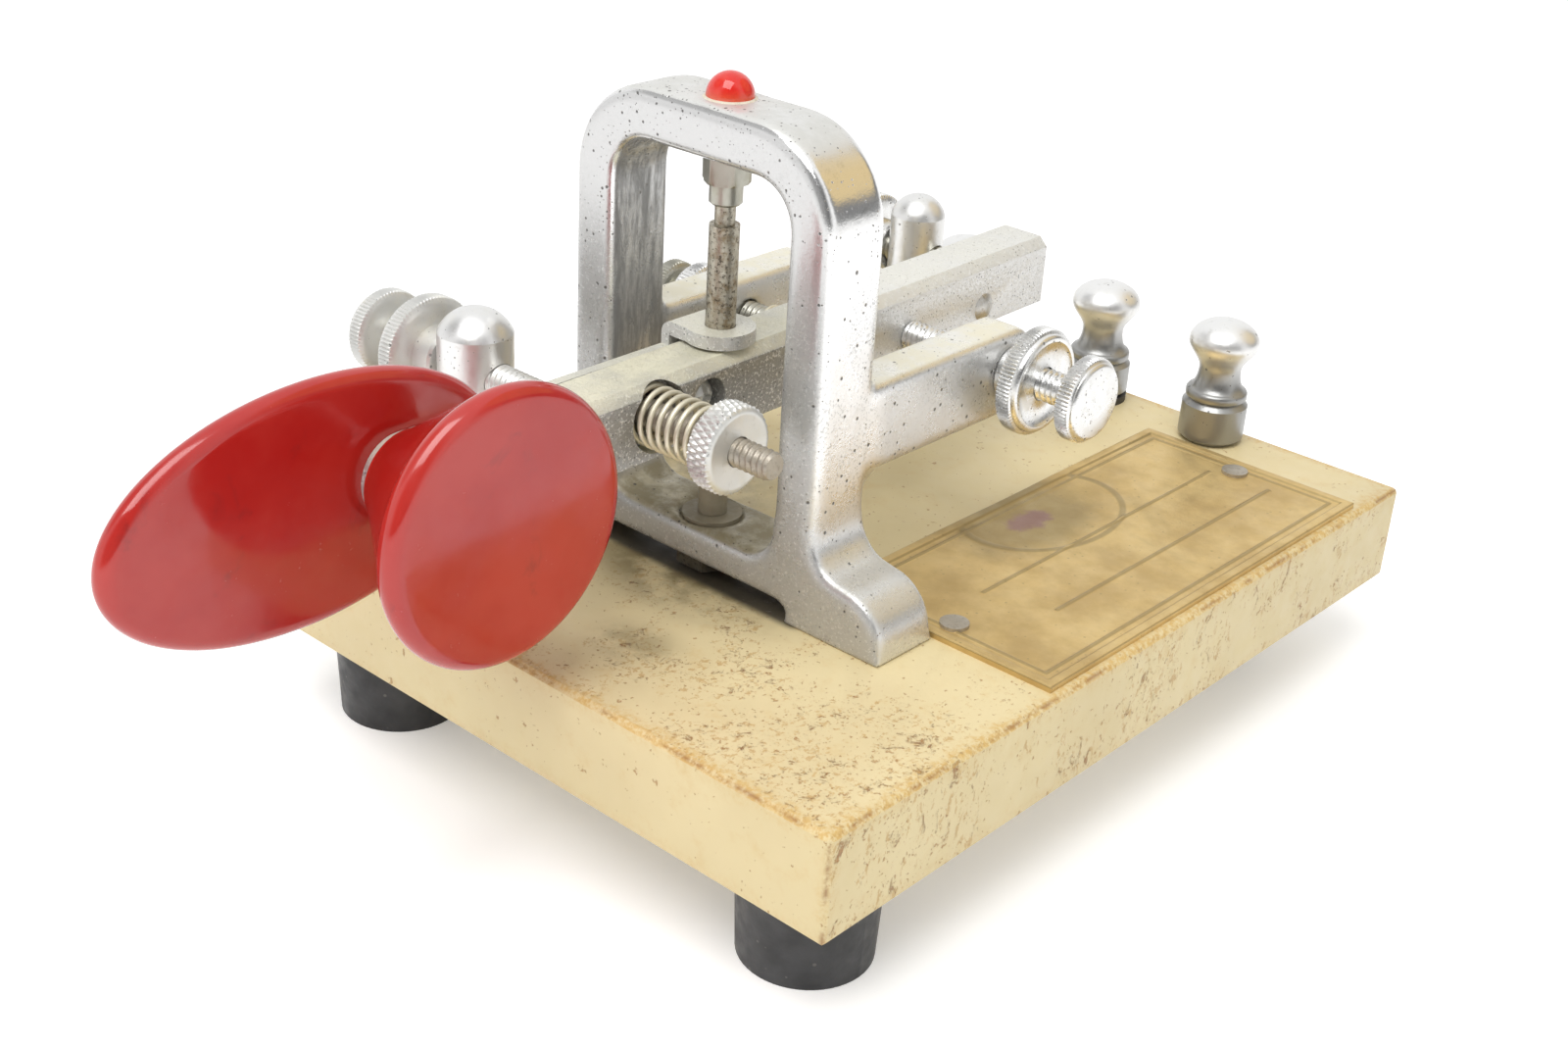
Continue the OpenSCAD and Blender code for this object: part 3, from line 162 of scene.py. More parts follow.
def squareTo(axis):
    axis = np.array(axis, float)
    side = np.array((0, 0, 1.0)) if abs(axis[2]) < 0.9 else np.array((0, 1.0, 0))
    side = side - axis * (side @ axis)
    side /= np.linalg.norm(side)
    return axis, side, np.cross(axis, side)


def turned(origin, axis, z, r, count):
    # point(i, a) = origin + z(i) axis + r(i, a) (cos a side + sin a other), sizes in mm
    along, side, other = squareTo(axis)
    a = np.linspace(0, tau, count, endpoint=False)
    z = np.asarray(z, float) * mm
    r = np.broadcast_to(np.asarray(r, float).reshape(len(z), -1), (len(z), count)) * mm
    ring = np.cos(a)[:, None] * side + np.sin(a)[:, None] * other
    return np.asarray(origin, float) + z[:, None, None] * along + r[:, :, None] * ring


def saw(x):
    return np.abs(2 * (x % 1) - 1)      # triangle wave: 1 at whole numbers, 0 halfway


def arc(z, r, radius, start, stop, count=9):
    a = np.radians(np.linspace(start, stop, count))
    return np.stack([z + radius * np.sin(a), r + radius * np.cos(a)], -1)


def ease(x, low, high):
    t = np.clip((x - low) / (high - low), 0, 1)
    return t * t * (3 - 2 * t)


def dress(piece, finish, body):
    piece.data.materials.clear()
    piece.data.materials.append(finish)
    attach(piece, body)
    return piece


def standFor(piece, node, finish):
    dress(piece, finish, nodes[node]["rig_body"])
    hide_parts(node)
    return piece


def copyOf(node, name, flat=1.0):
    # the node's own triangles, welded, with flat areas joined into whole faces
    mesh = nodes[node].data.copy()
    bm = bmesh.new()
    bm.from_mesh(mesh)
    bmesh.ops.remove_doubles(bm, verts=bm.verts, dist=2e-6)
    bmesh.ops.dissolve_limit(bm, angle_limit=math.radians(flat), verts=bm.verts, edges=bm.edges)
    bm.to_mesh(mesh)
    bm.free()
    return putMesh(name, mesh, 30, 2e-6)


def applyAll(piece):
    bpy.context.view_layer.update()
    graph = bpy.context.evaluated_depsgraph_get()
    mesh = bpy.data.meshes.new_from_object(piece.evaluated_get(graph))
    piece.modifiers.clear()
    piece.data = mesh


# Finishes


class Shader:
    # a node tree with short calls; p is the place on the surface or in the sky
    def __init__(self, tree, place):
        self.tree = tree
        self.p = self.node("ShaderNodeTexCoord").outputs[place]

    def node(self, kind, **values):
        n = self.tree.nodes.new(kind)
        for key, value in values.items():
            setattr(n, key, value)
        return n

    def feed(self, socket, value):
        if isinstance(value, bpy.types.NodeSocket):
            self.tree.links.new(value, socket)
        else:
            socket.default_value = value

    def vector(self, op, a, b=None):
        n = self.node("ShaderNodeVectorMath", operation=op)
        self.feed(n.inputs[0], a)
        if op == "SCALE":
            self.feed(n.inputs["Scale"], b)
        elif b is not None:
            self.feed(n.inputs[1], b)
        return n.outputs["Value"] if op in ("LENGTH", "DOT_PRODUCT", "DISTANCE") else n.outputs["Vector"]

    def math(self, op, a, b=None, c=None):
        n = self.node("ShaderNodeMath", operation=op)
        for socket, value in zip(n.inputs, (a, b, c)):
            if value is not None:
                self.feed(socket, value)
        return n.outputs[0]

    def times(self, a, b):
        return self.math("MULTIPLY", a, b)

    def most(self, a, b):
        return self.math("MAXIMUM", a, b)

    def minus(self, a, b):
        return self.math("SUBTRACT", a, b)

    def plus(self, a, b):
        return self.math("ADD", a, b)

    def away(self, place, scale):
        # distance from a place, with each axis scaled
        return self.vector("LENGTH", self.vector("MULTIPLY", self.vector("SUBTRACT", self.p, place), scale))

    def split(self, v):
        n = self.node("ShaderNodeSeparateXYZ")
        self.feed(n.inputs[0], v)
        return n.outputs

    def noise(self, scale, detail=2.0, rough=0.5, at=None, distort=0.0):
        n = self.node("ShaderNodeTexNoise")
        self.feed(n.inputs["Vector"], self.p if at is None else at)
        n.inputs["Scale"].default_value = scale
        n.inputs["Detail"].default_value = detail
        n.inputs["Roughness"].default_value = rough
        n.inputs["Distortion"].default_value = distort
        return n.outputs["Fac"]

    def ramp(self, x, low, high, out0=0.0, out1=1.0):
        n = self.node("ShaderNodeMapRange", interpolation_type="SMOOTHSTEP")
        for key, value in (("Value", x), ("From Min", low), ("From Max", high), ("To Min", out0),
                           ("To Max", out1)):
            self.feed(n.inputs[key], value)
        return n.outputs["Result"]

    def cloud(self, scale, detail, rough, *limits):
        # noise spread between limits, as ramp takes them
        return self.ramp(self.noise(scale, detail, rough), *limits)

    def over(self, x, start, width):
        # 0 up to start, 1 from start + width on
        return self.ramp(self.minus(x, start), 0.0, width)

    def mix(self, share, a, b):
        n = self.node("ShaderNodeMix", data_type="RGBA")
        self.feed(n.inputs["Factor"], share)
        for socket, value in ((n.inputs[6], a), (n.inputs[7], b)):
            self.feed(socket, value if isinstance(value, bpy.types.NodeSocket) else (*value, 1.0))
        return n.outputs[2]

    def dots(self, cells, radius, share, at=None):
        # round specks: a cell's dot shows where the cell's own random value is under share
        n = self.node("ShaderNodeTexVoronoi")
        self.feed(n.inputs["Vector"], self.p if at is None else at)
        n.inputs["Scale"].default_value = cells
        shade = self.split(n.outputs["Color"])
        size = self.math("MULTIPLY_ADD", shade[1], radius, radius * 0.35)
        near = self.minus(1.0, self.ramp(self.math("DIVIDE", n.outputs["Distance"], size), 0.6, 1.1))
        return self.times(near, self.math("LESS_THAN", shade[0], share))

    def bump(self, height, depth, strength=1.0, after=None):
        n = self.node("ShaderNodeBump")
        self.feed(n.inputs["Strength"], strength)
        n.inputs["Distance"].default_value = depth * mm
        self.feed(n.inputs["Height"], height)
        if after is not None:
            self.feed(n.inputs["Normal"], after)
        return n.outputs["Normal"]

    def wobble(self, at, scale, amount):
        # the place pushed about by noise, so that round marks come out ragged
        n = self.node("ShaderNodeTexNoise")
        self.feed(n.inputs["Vector"], at)
        n.inputs["Scale"].default_value = scale
        push = self.vector("SCALE", self.vector("SUBTRACT", n.outputs["Color"], (0.5, 0.5, 0.5)), amount)
        return self.vector("ADD", at, push)

    def upward(self):
        return self.split(self.node("ShaderNodeNewGeometry").outputs["Normal"])[2]

    def seen(self, *rays):
        # 1 for the kinds of ray named, 0 for the rest
        path = self.node("ShaderNodeLightPath")
        total = 0.0
        for key in rays:
            total = self.most(path.outputs[key], total)
        return total


class Finish(Shader):
    # a material; p is the Object coordinate in mm
    def __init__(self, name, metallic=0.0, roughness=0.5):
        self.mat = bpy.data.materials.new(name)
        self.mat.use_nodes = True
        super().__init__(self.mat.node_tree, "Object")
        self.p = self.vector("SCALE", self.p, 1000)
        self.bsdf = self.tree.nodes["Principled BSDF"]
        self.bsdf.inputs["Metallic"].default_value = metallic
        self.bsdf.inputs["Roughness"].default_value = roughness

    def give(self, key, value):
        self.feed(self.bsdf.inputs[key], (*value, 1.0) if isinstance(value, tuple) else value)


# the darkest colour here is painted shadow under the cross-bar; the grime colour also serves painted shade
# behind the cross-bar
creamPaint = {"fresh": (0.79, 0.665, 0.385), "dull": (0.73, 0.605, 0.345), "rust": (0.24, 0.075, 0.022),
              "brown": (0.39, 0.185, 0.055), "ochre": (0.66, 0.43, 0.14), "grimeAndShade": (0.21, 0.165, 0.08),
              "barShadow": (0.045, 0.04, 0.032)}


def makeCream(s):
    f = Finish("creamPaint", 0.0, 0.42)
    low, high = span("base")
    centre = (low + high) / 2 / mm
    half = (high - low) / 2 / mm
    fromMiddle = f.split(f.vector("ABSOLUTE", f.vector("SUBTRACT", f.p, tuple(centre))))
    gaps = [f.minus(float(half[i]), fromMiddle[i]) for i in range(3)]
    total = f.plus(f.plus(gaps[0], gaps[1]), gaps[2])
    least = f.math("MINIMUM", f.math("MINIMUM", gaps[0], gaps[1]), gaps[2])
    most = f.most(f.most(gaps[0], gaps[1]), gaps[2])
    toEdge = f.minus(f.minus(total, least), most)      # middle of the three gaps
    y = f.split(f.p)[1]
    fromFront = f.minus(y, float(low[1] / mm))
    colour = f.mix(f.cloud(0.05, 3, 0.5, 0.35, 0.7), s["fresh"], s["dull"])
    colour = f.mix(f.cloud(0.3, 5, 0.65, 0.52, 0.8, 0, 0.30), colour, s["ochre"])
    # specks, dashes and blotches, thicker towards the front of the top and down the right side
    side = f.ramp(gaps[0], 0.6, 0.2)
    crowd = f.times(f.ramp(fromFront, 75, 4, 0.3, 1.0), f.cloud(0.09, 4, 0.6, 0.30, 0.58))
    crowd = f.most(crowd, f.times(side, f.cloud(0.12, 4, 0.6, 0.34, 0.6)))
    crowd = f.times(crowd, f.ramp(fromFront, 0.2, 0.6, 0.3, 1.0))
    drawn = f.vector("MULTIPLY", f.p, (0.85, 0.75, 0.42))
    fleck = f.over(f.noise(1.35, 6, 0.74, at=drawn, distort=0.4), f.ramp(crowd, 0, 1, 0.70, 0.515), 0.10)
    dash = f.over(f.noise(0.75, 7, 0.80, at=drawn, distort=0.6), f.ramp(crowd, 0, 1, 0.76, 0.565), 0.08)
    colour = f.mix(f.times(fleck, 0.62), colour, f.mix(f.noise(0.5, 3), s["ochre"], s["brown"]))
    colour = f.mix(f.times(dash, 0.8), colour, f.mix(f.cloud(0.9, 4, 0.5, 0.4, 0.65), s["brown"], s["rust"]))
    speck = f.dots(0.75, 0.22, f.times(crowd, 0.32), at=f.wobble(f.p, 1.6, 1.8))
    fine = f.dots(1.9, 0.26, f.times(crowd, 0.55), at=f.wobble(f.p, 2.6, 0.8))
    both = f.most(speck, fine)
    colour = f.mix(f.times(both, 0.66), colour, s["brown"])
    colour = f.mix(f.times(f.times(speck, fleck), 0.9), colour, s["rust"])
    # worn edges: a mottled ochre band inside the edge and a thin dark line on it
    wander = f.noise(0.55, 6, 0.7)
    worn = f.ramp(f.plus(toEdge, f.times(f.minus(wander, 0.5), 5.0)), 2.4, 0.2)
    worn = f.times(worn, f.ramp(f.upward(), 0.2, 0.7, 0.3, 1.0))
    colour = f.mix(f.times(worn, f.cloud(1.6, 5, 0.7, 0.38, 0.60, 0.15, 0.9)), colour, s["ochre"])
    line = f.times(f.ramp(toEdge, 0.7, 0.1), f.cloud(0.10, 6, 0.75, 0.47, 0.60, 0.0, 1.0))
    colour = f.mix(f.times(line, 0.85), colour, s["rust"])
    blot = f.most(dash, line)
    # grime in front of the arch, where the lever sheds its dust
    pin = middle("trunnion_pin") / mm
    away = f.away((pin[0] - 2, pin[1] - 5, high[2] / mm), (0.055, 0.13, 0.1))
    dirt = f.times(f.ramp(away, 1.3, 0.2), f.cloud(0.15, 5, 0.6, 0.34, 0.60, 0.1, 1.0))
    colour = f.mix(f.times(dirt, 0.85), colour, s["grimeAndShade"])
    spot = f.away((pin[0] + 8, pin[1] - 20, high[2] / mm), (0.14, 0.2, 0.1))
    spot = f.times(f.ramp(spot, 1.2, 0.1), f.cloud(0.22, 4, 0.6, 0.34, 0.62, 0.3, 1.0))
    colour = f.mix(f.times(spot, 0.55), colour, s["grimeAndShade"])
    # dust and painted shade behind the cross-bar, under the lever
    hindDustAndShade = f.away((pin[0] - 17, pin[1] + 15, high[2] / mm), (0.075, 0.12, 0.1))
    hindDustAndShade = f.times(f.ramp(hindDustAndShade, 1.6, 0.2), f.cloud(0.2, 5, 0.65, 0.3, 0.65, 0.4, 1.0))
    colour = f.mix(f.times(hindDustAndShade, 0.75), colour, s["grimeAndShade"])
    # painted shadow under the cross-bar
    gap = f.split(f.vector("ABSOLUTE", f.vector("SUBTRACT", f.p, tuple(float(v) for v in pin))))
    under = f.times(f.ramp(gap[0], 18.5, 16.5), f.ramp(gap[1], 5.8, 4.2))
    colour = f.mix(f.times(under, 0.92), colour, s["barShadow"])
    f.give("Base Color", colour)
    f.give("Roughness", f.cloud(0.5, 4, 0.5, 0.3, 0.7, 0.36, 0.54))
    f.bsdf.inputs["Specular IOR Level"].default_value = 0.35
    skin = f.bump(f.noise(0.8, 4, 0.55), 0.06, 0.5)
    f.give("Normal", f.bump(f.most(both, blot), -0.08, 0.7, skin))
    return f.mat


# the greys for front faces and the window's inside are painted shade and the flank grey is painted light; the
# grime colour also serves painted shade under the lever
chromeCasting = {"bright": (0.90, 0.90, 0.895), "pit": (0.07, 0.066, 0.06), "film": (0.83, 0.785, 0.62),
                 "stain": (0.46, 0.44, 0.39),
                 "shade": (0.38, 0.382, 0.376), "cloud": (0.64, 0.64, 0.61), "grimeAndShade": (0.20, 0.165, 0.085),
                 "grit": (0.34, 0.34, 0.33),
                 "inside": (0.27, 0.272, 0.268), "flankLight": (0.56, 0.56, 0.55), "toe": (0.50, 0.50, 0.48)}


def pitsIn(f, share):
    return f.most(f.dots(0.95, 0.17, share), f.dots(2.1, 0.20, f.times(share, 0.8)))


def makeCastChrome(s):
    f = Finish("castChrome", 1.0, 0.15)
    face = f.split(f.node("ShaderNodeNewGeometry").outputs["Normal"])
    x, y, z = (f.split(f.p)[i] for i in range(3))
    pin = middle("trunnion_pin") / mm
    pinY = float(pin[1])
    top = float(span("base")[1][2] / mm)
    high = f.ramp(z, top + 30, top + 48)      # 0 on feet and arms, 1 on the crown
    # grain of the casting, coarse where the plating is worn low down
    grain = f.over(f.noise(3.0, 4, 0.72), 0.52, 0.12)
    patchy = f.cloud(0.16, 4, 0.6, 0.32, 0.66)
    gritOn = f.times(grain, f.times(patchy, f.ramp(high, 0, 1, 0.75, 0.22)))
    colour = f.mix(gritOn, s["bright"], s["grit"])
    colour = f.mix(f.cloud(0.45, 6, 0.7, 0.56, 0.80, 0, 0.45), colour, s["stain"])
    # painted shade on the inside of the window and on front faces, more so low down; these faces are also
    # duller
    across = f.math("ABSOLUTE", f.minus(x, float(pin[0])))
    legIn = float((span("stop_lock_nut")[0][0] / mm) - pin[0] - 6.0)
    inner = f.times(f.ramp(across, legIn + 0.9, legIn + 0.1), f.ramp(face[2], 0.85, 0.5))
    inner = f.times(inner, f.ramp(y, pinY + 7, pinY + 4))
    inner = f.times(inner, f.ramp(face[1], -0.6, -0.25))
    inner = f.times(inner, f.ramp(z, top + 51.0, top + 49.6))
    inner = f.times(inner, f.ramp(f.noise(0.9, 6, 0.72, at=f.vector("MULTIPLY", f.p, (1, 1, 0.16))), 0.34,
                                  0.62, 0.45, 1.0))
    front = f.times(f.ramp(f.times(face[1], -1.0), 0.5, 0.95), f.ramp(high, 0, 1, 0.80, 0.48))
    shade = f.most(inner, front)
    colour = f.mix(front, colour, s["shade"])
    spark = f.times(f.ramp(f.noise(3.2, 4, 0.72, at=f.vector("ADD", f.p, (7, 3, 5))), 0.55, 0.66),
                    f.ramp(high, 0, 1, 0.7, 0.2))
    colour = f.mix(f.times(spark, front), colour, s["bright"])
    # painted shade inside the window
    colour = f.mix(inner, colour, s["inside"])
    # painted light on the right faces of arms and toes, a plain grey; the tops of the toes are worn to plain
    # grey
    lowDown = f.ramp(high, 0.5, 0.0)
    flankLight = f.times(f.times(f.ramp(face[0], 0.5, 0.9), lowDown), 0.45)
    flankLight = f.times(flankLight, f.most(f.ramp(y, pinY + 4.5, pinY + 8.0), f.ramp(z, top + 17, top + 11)))
    colour = f.mix(flankLight, colour, s["flankLight"])
    toe = f.times(f.ramp(across, legIn + 5.0, legIn + 8.0), f.ramp(y, pinY + 6.5, pinY + 4.5))
    toe = f.times(f.times(toe, f.ramp(face[2], 0.3, 0.8)), lowDown)
    colour = f.mix(f.times(toe, 0.6), colour, s["toe"])
    shade = f.most(shade, f.most(flankLight, f.times(toe, 0.6)))
    # yellow film on the tops of arms and toes
    film = f.times(f.times(f.ramp(face[2], 0.5, 0.92), lowDown), f.minus(1.0, f.times(toe, 0.8)))
    film = f.times(film, f.cloud(0.2, 6, 0.68, 0.30, 0.62, 0.35, 1.0))
    colour = f.mix(film, colour, s["film"])
    # the crown's top is clouded
    cloud = f.times(f.ramp(face[2], 0.6, 0.9), f.ramp(high, 0.6, 1.0))
    cloud = f.times(cloud, f.cloud(0.35, 6, 0.7, 0.3, 0.62, 0.55, 0.9))
    colour = f.mix(cloud, colour, s["cloud"])
    # grime and painted shade on the cross-bar under the lever
    barTop = float(span("lower_bearing")[1][2] / mm)
    low = f.times(f.ramp(z, barTop + 2.0, barTop + 1.0), f.ramp(across, 15.0, 12.0))
    grimeAndShade = f.times(f.times(low, f.ramp(face[2], 0.3, 0.8)), f.cloud(0.3, 6, 0.7, 0.30, 0.58, 0.55, 1.0))
    colour = f.mix(f.times(grimeAndShade, 0.9), colour, s["grimeAndShade"])
    pit = pitsIn(f, f.times(f.cloud(0.12, 4, 0.6, 0.30, 0.62, 0.2, 0.9), f.ramp(high, 0, 1, 0.35, 1.0)))
    f.give("Base Color", f.mix(f.times(pit, 0.85), colour, s["pit"]))
    bare = f.plus(f.cloud(0.25, 5, 0.65, 0.3, 0.72, 0.07, 0.20), f.ramp(high, 0.0, 0.6, 0.16, 0.0))
    dull = f.most(f.times(shade, 0.30), f.times(f.most(film, grimeAndShade), 0.42))
    dull = f.most(dull, f.times(cloud, 0.62))
    f.give("Roughness", f.most(f.most(bare, dull), f.times(gritOn, 0.36)))
    soft = f.most(f.times(film, 0.6), f.most(grimeAndShade, f.times(pit, 0.6)))
    soft = f.most(soft, f.times(shade, 0.75))
    soft = f.most(soft, f.times(cloud, 0.6))
    f.give("Metallic", f.minus(1.0, soft))
    wave = f.bump(f.noise(0.35, 2), 0.06, 0.6)
    fine = f.bump(f.noise(3.0, 4, 0.72), 0.05, f.ramp(high, 0, 1, 0.75, 0.3), wave)
    f.give("Normal", f.bump(pit, -0.07, 0.8, fine))
    return f.mat


def makeTurned(name, s, pits=1.0, rough=(0.16, 0.34), film=0.3, body=1.0):
    f = Finish(name, body, 0.25)
    filmOn = f.times(f.cloud(0.22, 5, 0.65, 0.48, 0.72), film)
    colour = f.mix(filmOn, s["bright"], s["film"])
    colour = f.mix(f.cloud(0.9, 5, 0.7, 0.54, 0.78, 0, 0.5), colour, s["stain"])
    if "low" in s:
        # painted shade: darker towards the base
        top = float(span("base")[1][2] / mm)
        colour = f.mix(f.ramp(f.split(f.p)[2], top + s["from"][0], top + s["from"][1]), s["low"], colour)
    pit = pitsIn(f, f.cloud(0.2, 4, 0.6, 0.32, 0.62, 0.15 * pits, 0.9 * pits))
    f.give("Base Color", f.mix(f.times(pit, 0.7), colour, s["pit"]))
    f.give("Roughness", f.cloud(0.5, 5, 0.65, 0.3, 0.7, rough[0], rough[1]))
    f.give("Metallic", f.minus(body, f.times(f.most(pit, filmOn), 0.4)))
    f.give("Normal", f.bump(pit, -0.05, 0.7, f.bump(f.noise(2.6, 4, 0.65), 0.03, 0.6)))
    return f.mat


castLever = {"grey": (0.44, 0.44, 0.435), "rear": (0.84, 0.84, 0.83), "spark": (0.99, 0.99, 0.97),
             "film": (0.80, 0.765, 0.59), "dark": (0.13, 0.13, 0.125)}


def makeCast(name, s, film=1.0):
    f = Finish(name, 0.85, 0.42)
    up = f.upward()
    pivot = float(middle("trunnion_pin")[1] / mm)
    body = f.mix(f.ramp(f.split(f.p)[1], pivot + 4, pivot + 26), s["grey"], s["rear"])
    spark = f.cloud(2.6, 4, 0.72, 0.53, 0.61)
    colour = f.mix(f.times(spark, 0.85), body, s["spark"])
    colour = f.mix(f.times(f.dots(2.2, 0.24, 0.55), 0.7), colour, s["dark"])
    filmOn = f.times(f.ramp(up, 0.35, 0.85), f.cloud(0.12, 5, 0.6, 0.25, 0.6, 0.45, 1.0))
    filmOn = f.times(filmOn, f.ramp(f.split(f.p)[1], pivot + 6, pivot + 28, 1.0, 0.35))
    colour = f.mix(f.times(filmOn, film), colour, s["film"])
    # painted shade in a ring round the clamp screw
    screw = middle("clamp_screw") / mm
    ring = f.away(tuple(screw), (0.0, 1.0, 1.0))
    ring = f.times(f.ramp(ring, 2.75, 2.3), f.ramp(f.split(f.p)[0], float(screw[0]) - 1.0, float(screw[0])))
    colour = f.mix(f.times(ring, 0.93), colour, s["dark"])
    f.give("Base Color", colour)
    f.give("Metallic", f.minus(0.6, f.times(filmOn, 0.4)))
    f.give("Roughness", f.cloud(1.2, 4, 0.5, 0.3, 0.7, 0.28, 0.46))
    rough = f.bump(f.noise(2.6, 4, 0.65), 0.10, 0.8)
    f.give("Normal", f.bump(spark, 0.05, 0.6, rough))
    return f.mat


rustySteel = {"steel": (0.52, 0.49, 0.41), "rust": (0.30, 0.235, 0.15), "dark": (0.08, 0.068, 0.052)}


def makeSteel(name, s, rust=1.0, metallic=0.85, rough=0.42):
    f = Finish(name, metallic, rough)
    colour = f.mix(f.cloud(0.8, 5, 0.7, 0.42, 0.7, 0, rust), s["steel"], s["rust"])
    colour = f.mix(f.times(f.over(f.noise(2.4, 6, 0.76), 0.53, 0.07), 0.85 * rust), colour, s["dark"])
    if "mudAndShade" in s:
        # dirt and painted shade below the lever
        low = float(span("main_lever")[0][2] / mm)
        mudAndShade = f.ramp(f.split(f.p)[2], low + 1.0, low - 0.5)
        colour = f.mix(mudAndShade, colour, f.mix(f.noise(0.7, 5, 0.65), s["mudAndShade"], s["murkAndShade"]))
        f.give("Metallic", f.times(f.minus(1.0, mudAndShade), metallic))
    f.give("Base Color", colour)
    f.give("Roughness", f.cloud(1.1, 4, 0.5, 0.3, 0.7, rough - 0.1, rough + 0.14))
    f.give("Normal", f.bump(f.noise(2.4, 4, 0.6), 0.05, 0.7))
    return f.mat


wornBrass = {"gold": (0.70, 0.50, 0.215), "dull": (0.50, 0.345, 0.14), "dark": (0.20, 0.13, 0.05)}


def makeBrass(name, s, metallic=0.8, rough=0.40, patina=1.0):
    f = Finish(name, metallic, rough)
    colour = f.mix(f.cloud(0.11, 5, 0.6, 0.34, 0.68), s["gold"], s["dull"])
    colour = f.mix(f.ramp(f.noise(0.07, 4, 0.6, distort=0.5), 0.54, 0.78, 0, 0.5 * patina), colour, s["dark"])
    colour = f.mix(f.times(f.dots(1.3, 0.2, 0.25), 0.5 * patina), colour, s["dark"])
    f.give("Base Color", colour)
    f.give("Roughness", f.cloud(0.35, 5, 0.5, 0.3, 0.7, rough - 0.08, rough + 0.12))
    f.give("Normal", f.bump(f.noise(1.4, 5, 0.6), 0.05, 0.6))
    return f.mat


plateTarnish = {"gold": (0.74, 0.55, 0.245), "brown": (0.55, 0.385, 0.155), "olive": (0.30, 0.225, 0.10),
                "plum": (0.30, 0.14, 0.19),
                "oval": (4.0, 31.0, 11.0, 15.0)}


def makePlateBrass(s):
    f = Finish("plateBrass", 0.6, 0.45)
    low = span("nameplate")[0] / mm
    colour = f.mix(f.cloud(0.10, 5, 0.6, 0.34, 0.68), s["gold"], s["brown"])
    colour = f.mix(f.cloud(0.9, 6, 0.72, 0.5, 0.78, 0, 0.4), colour, s["brown"])
    colour = f.mix(f.ramp(f.noise(0.06, 4, 0.6, distort=0.5), 0.54, 0.78, 0, 0.5), colour, s["olive"])
    cx, cy, rx, ry = s["oval"]
    offset = f.vector("SUBTRACT", f.p, (float(low[0]) + cx, float(low[1]) + cy, float(low[2])))
    off = f.vector("LENGTH", f.vector("MULTIPLY", offset, (1 / rx, 1 / ry, 0.0)))
    off = f.plus(off, f.times(f.minus(f.noise(0.14, 4, 0.6), 0.5), 0.8))
    colour = f.mix(f.ramp(off, 1.0, 0.45, 0, 0.62), colour, s["olive"])
    blot = f.vector("LENGTH", f.vector("MULTIPLY", f.vector("SUBTRACT", offset, (1.6, 0.5, 0.0)),
                                       (0.42, 0.24, 0.0)))
    blot = f.plus(blot, f.times(f.minus(f.noise(0.5, 4, 0.6), 0.5), 1.4))
    colour = f.mix(f.ramp(blot, 1.0, 0.5, 0, 0.6), colour, s["plum"])
    colour = f.mix(f.times(f.dots(1.3, 0.2, 0.25), 0.45), colour, s["olive"])
    # dirt along the rim's foot and the raised lines
    top = float(span("nameplate")[1][2] / mm)
    z = f.split(f.p)[2]
    step = f.times(f.ramp(z, top - 0.27, top - 0.20), f.ramp(z, top - 0.02, top - 0.08))
    colour = f.mix(f.times(step, 0.6), colour, s["olive"])
    f.give("Base Color", colour)
    f.give("Roughness", f.cloud(0.35, 5, 0.5, 0.3, 0.7, 0.36, 0.54))
    f.give("Normal", f.bump(f.noise(1.6, 5, 0.65), 0.06, 0.7))
    return f.mat


redPlastic = {"deep": (0.44, 0.012, 0.009), "worn": (0.50, 0.028, 0.020), "smudge": (0.17, 0.015, 0.015)}


def makeRed(name, s):
    f = Finish(name, 0.0, 0.16)
    colour = f.mix(f.cloud(0.08, 4, 0.55, 0.35, 0.7), s["deep"], s["worn"])
    colour = f.mix(f.ramp(f.noise(0.17, 4, 0.6, distort=0.4), 0.60, 0.80, 0, 0.55), colour, s["smudge"])
    f.give("Base Color", colour)
    haze = f.cloud(0.22, 5, 0.6, 0.34, 0.7, 0.10, 0.26)
    f.give("Roughness", f.plus(haze, f.cloud(2.5, 3, 0.5, 0.55, 0.8, 0, 0.06)))
    f.give("Normal", f.bump(f.noise(0.12, 3), 0.10, 0.35))
    f.bsdf.inputs["Specular IOR Level"].default_value = 0.55
    f.bsdf.inputs["Coat Weight"].default_value = 0.4
    f.bsdf.inputs["Coat Roughness"].default_value = 0.07
    return f.mat


def makeRubber():
    f = Finish("blackRubber", 0.0, 0.5)
    colour = f.mix(f.cloud(0.15, 4, 0.5, 0.35, 0.7), (0.018, 0.018, 0.019), (0.05, 0.05, 0.052))
    f.give("Base Color", f.mix(f.times(f.dots(0.9, 0.2, 0.12), 0.5), colour, (0.16, 0.15, 0.13)))
    f.give("Roughness", f.cloud(0.5, 4, 0.5, 0.3, 0.7, 0.36, 0.55))
    f.give("Normal", f.bump(f.noise(2.0, 3), 0.04, 0.6))
    return f.mat


def makeFibre():
    f = Finish("blackFibre", 0.0, 0.6)
    f.give("Base Color", f.mix(f.noise(1.5, 4), (0.02, 0.018, 0.016), (0.075, 0.065, 0.055)))
    f.give("Normal", f.bump(f.noise(3.0, 4), 0.05, 0.6))
    return f.mat


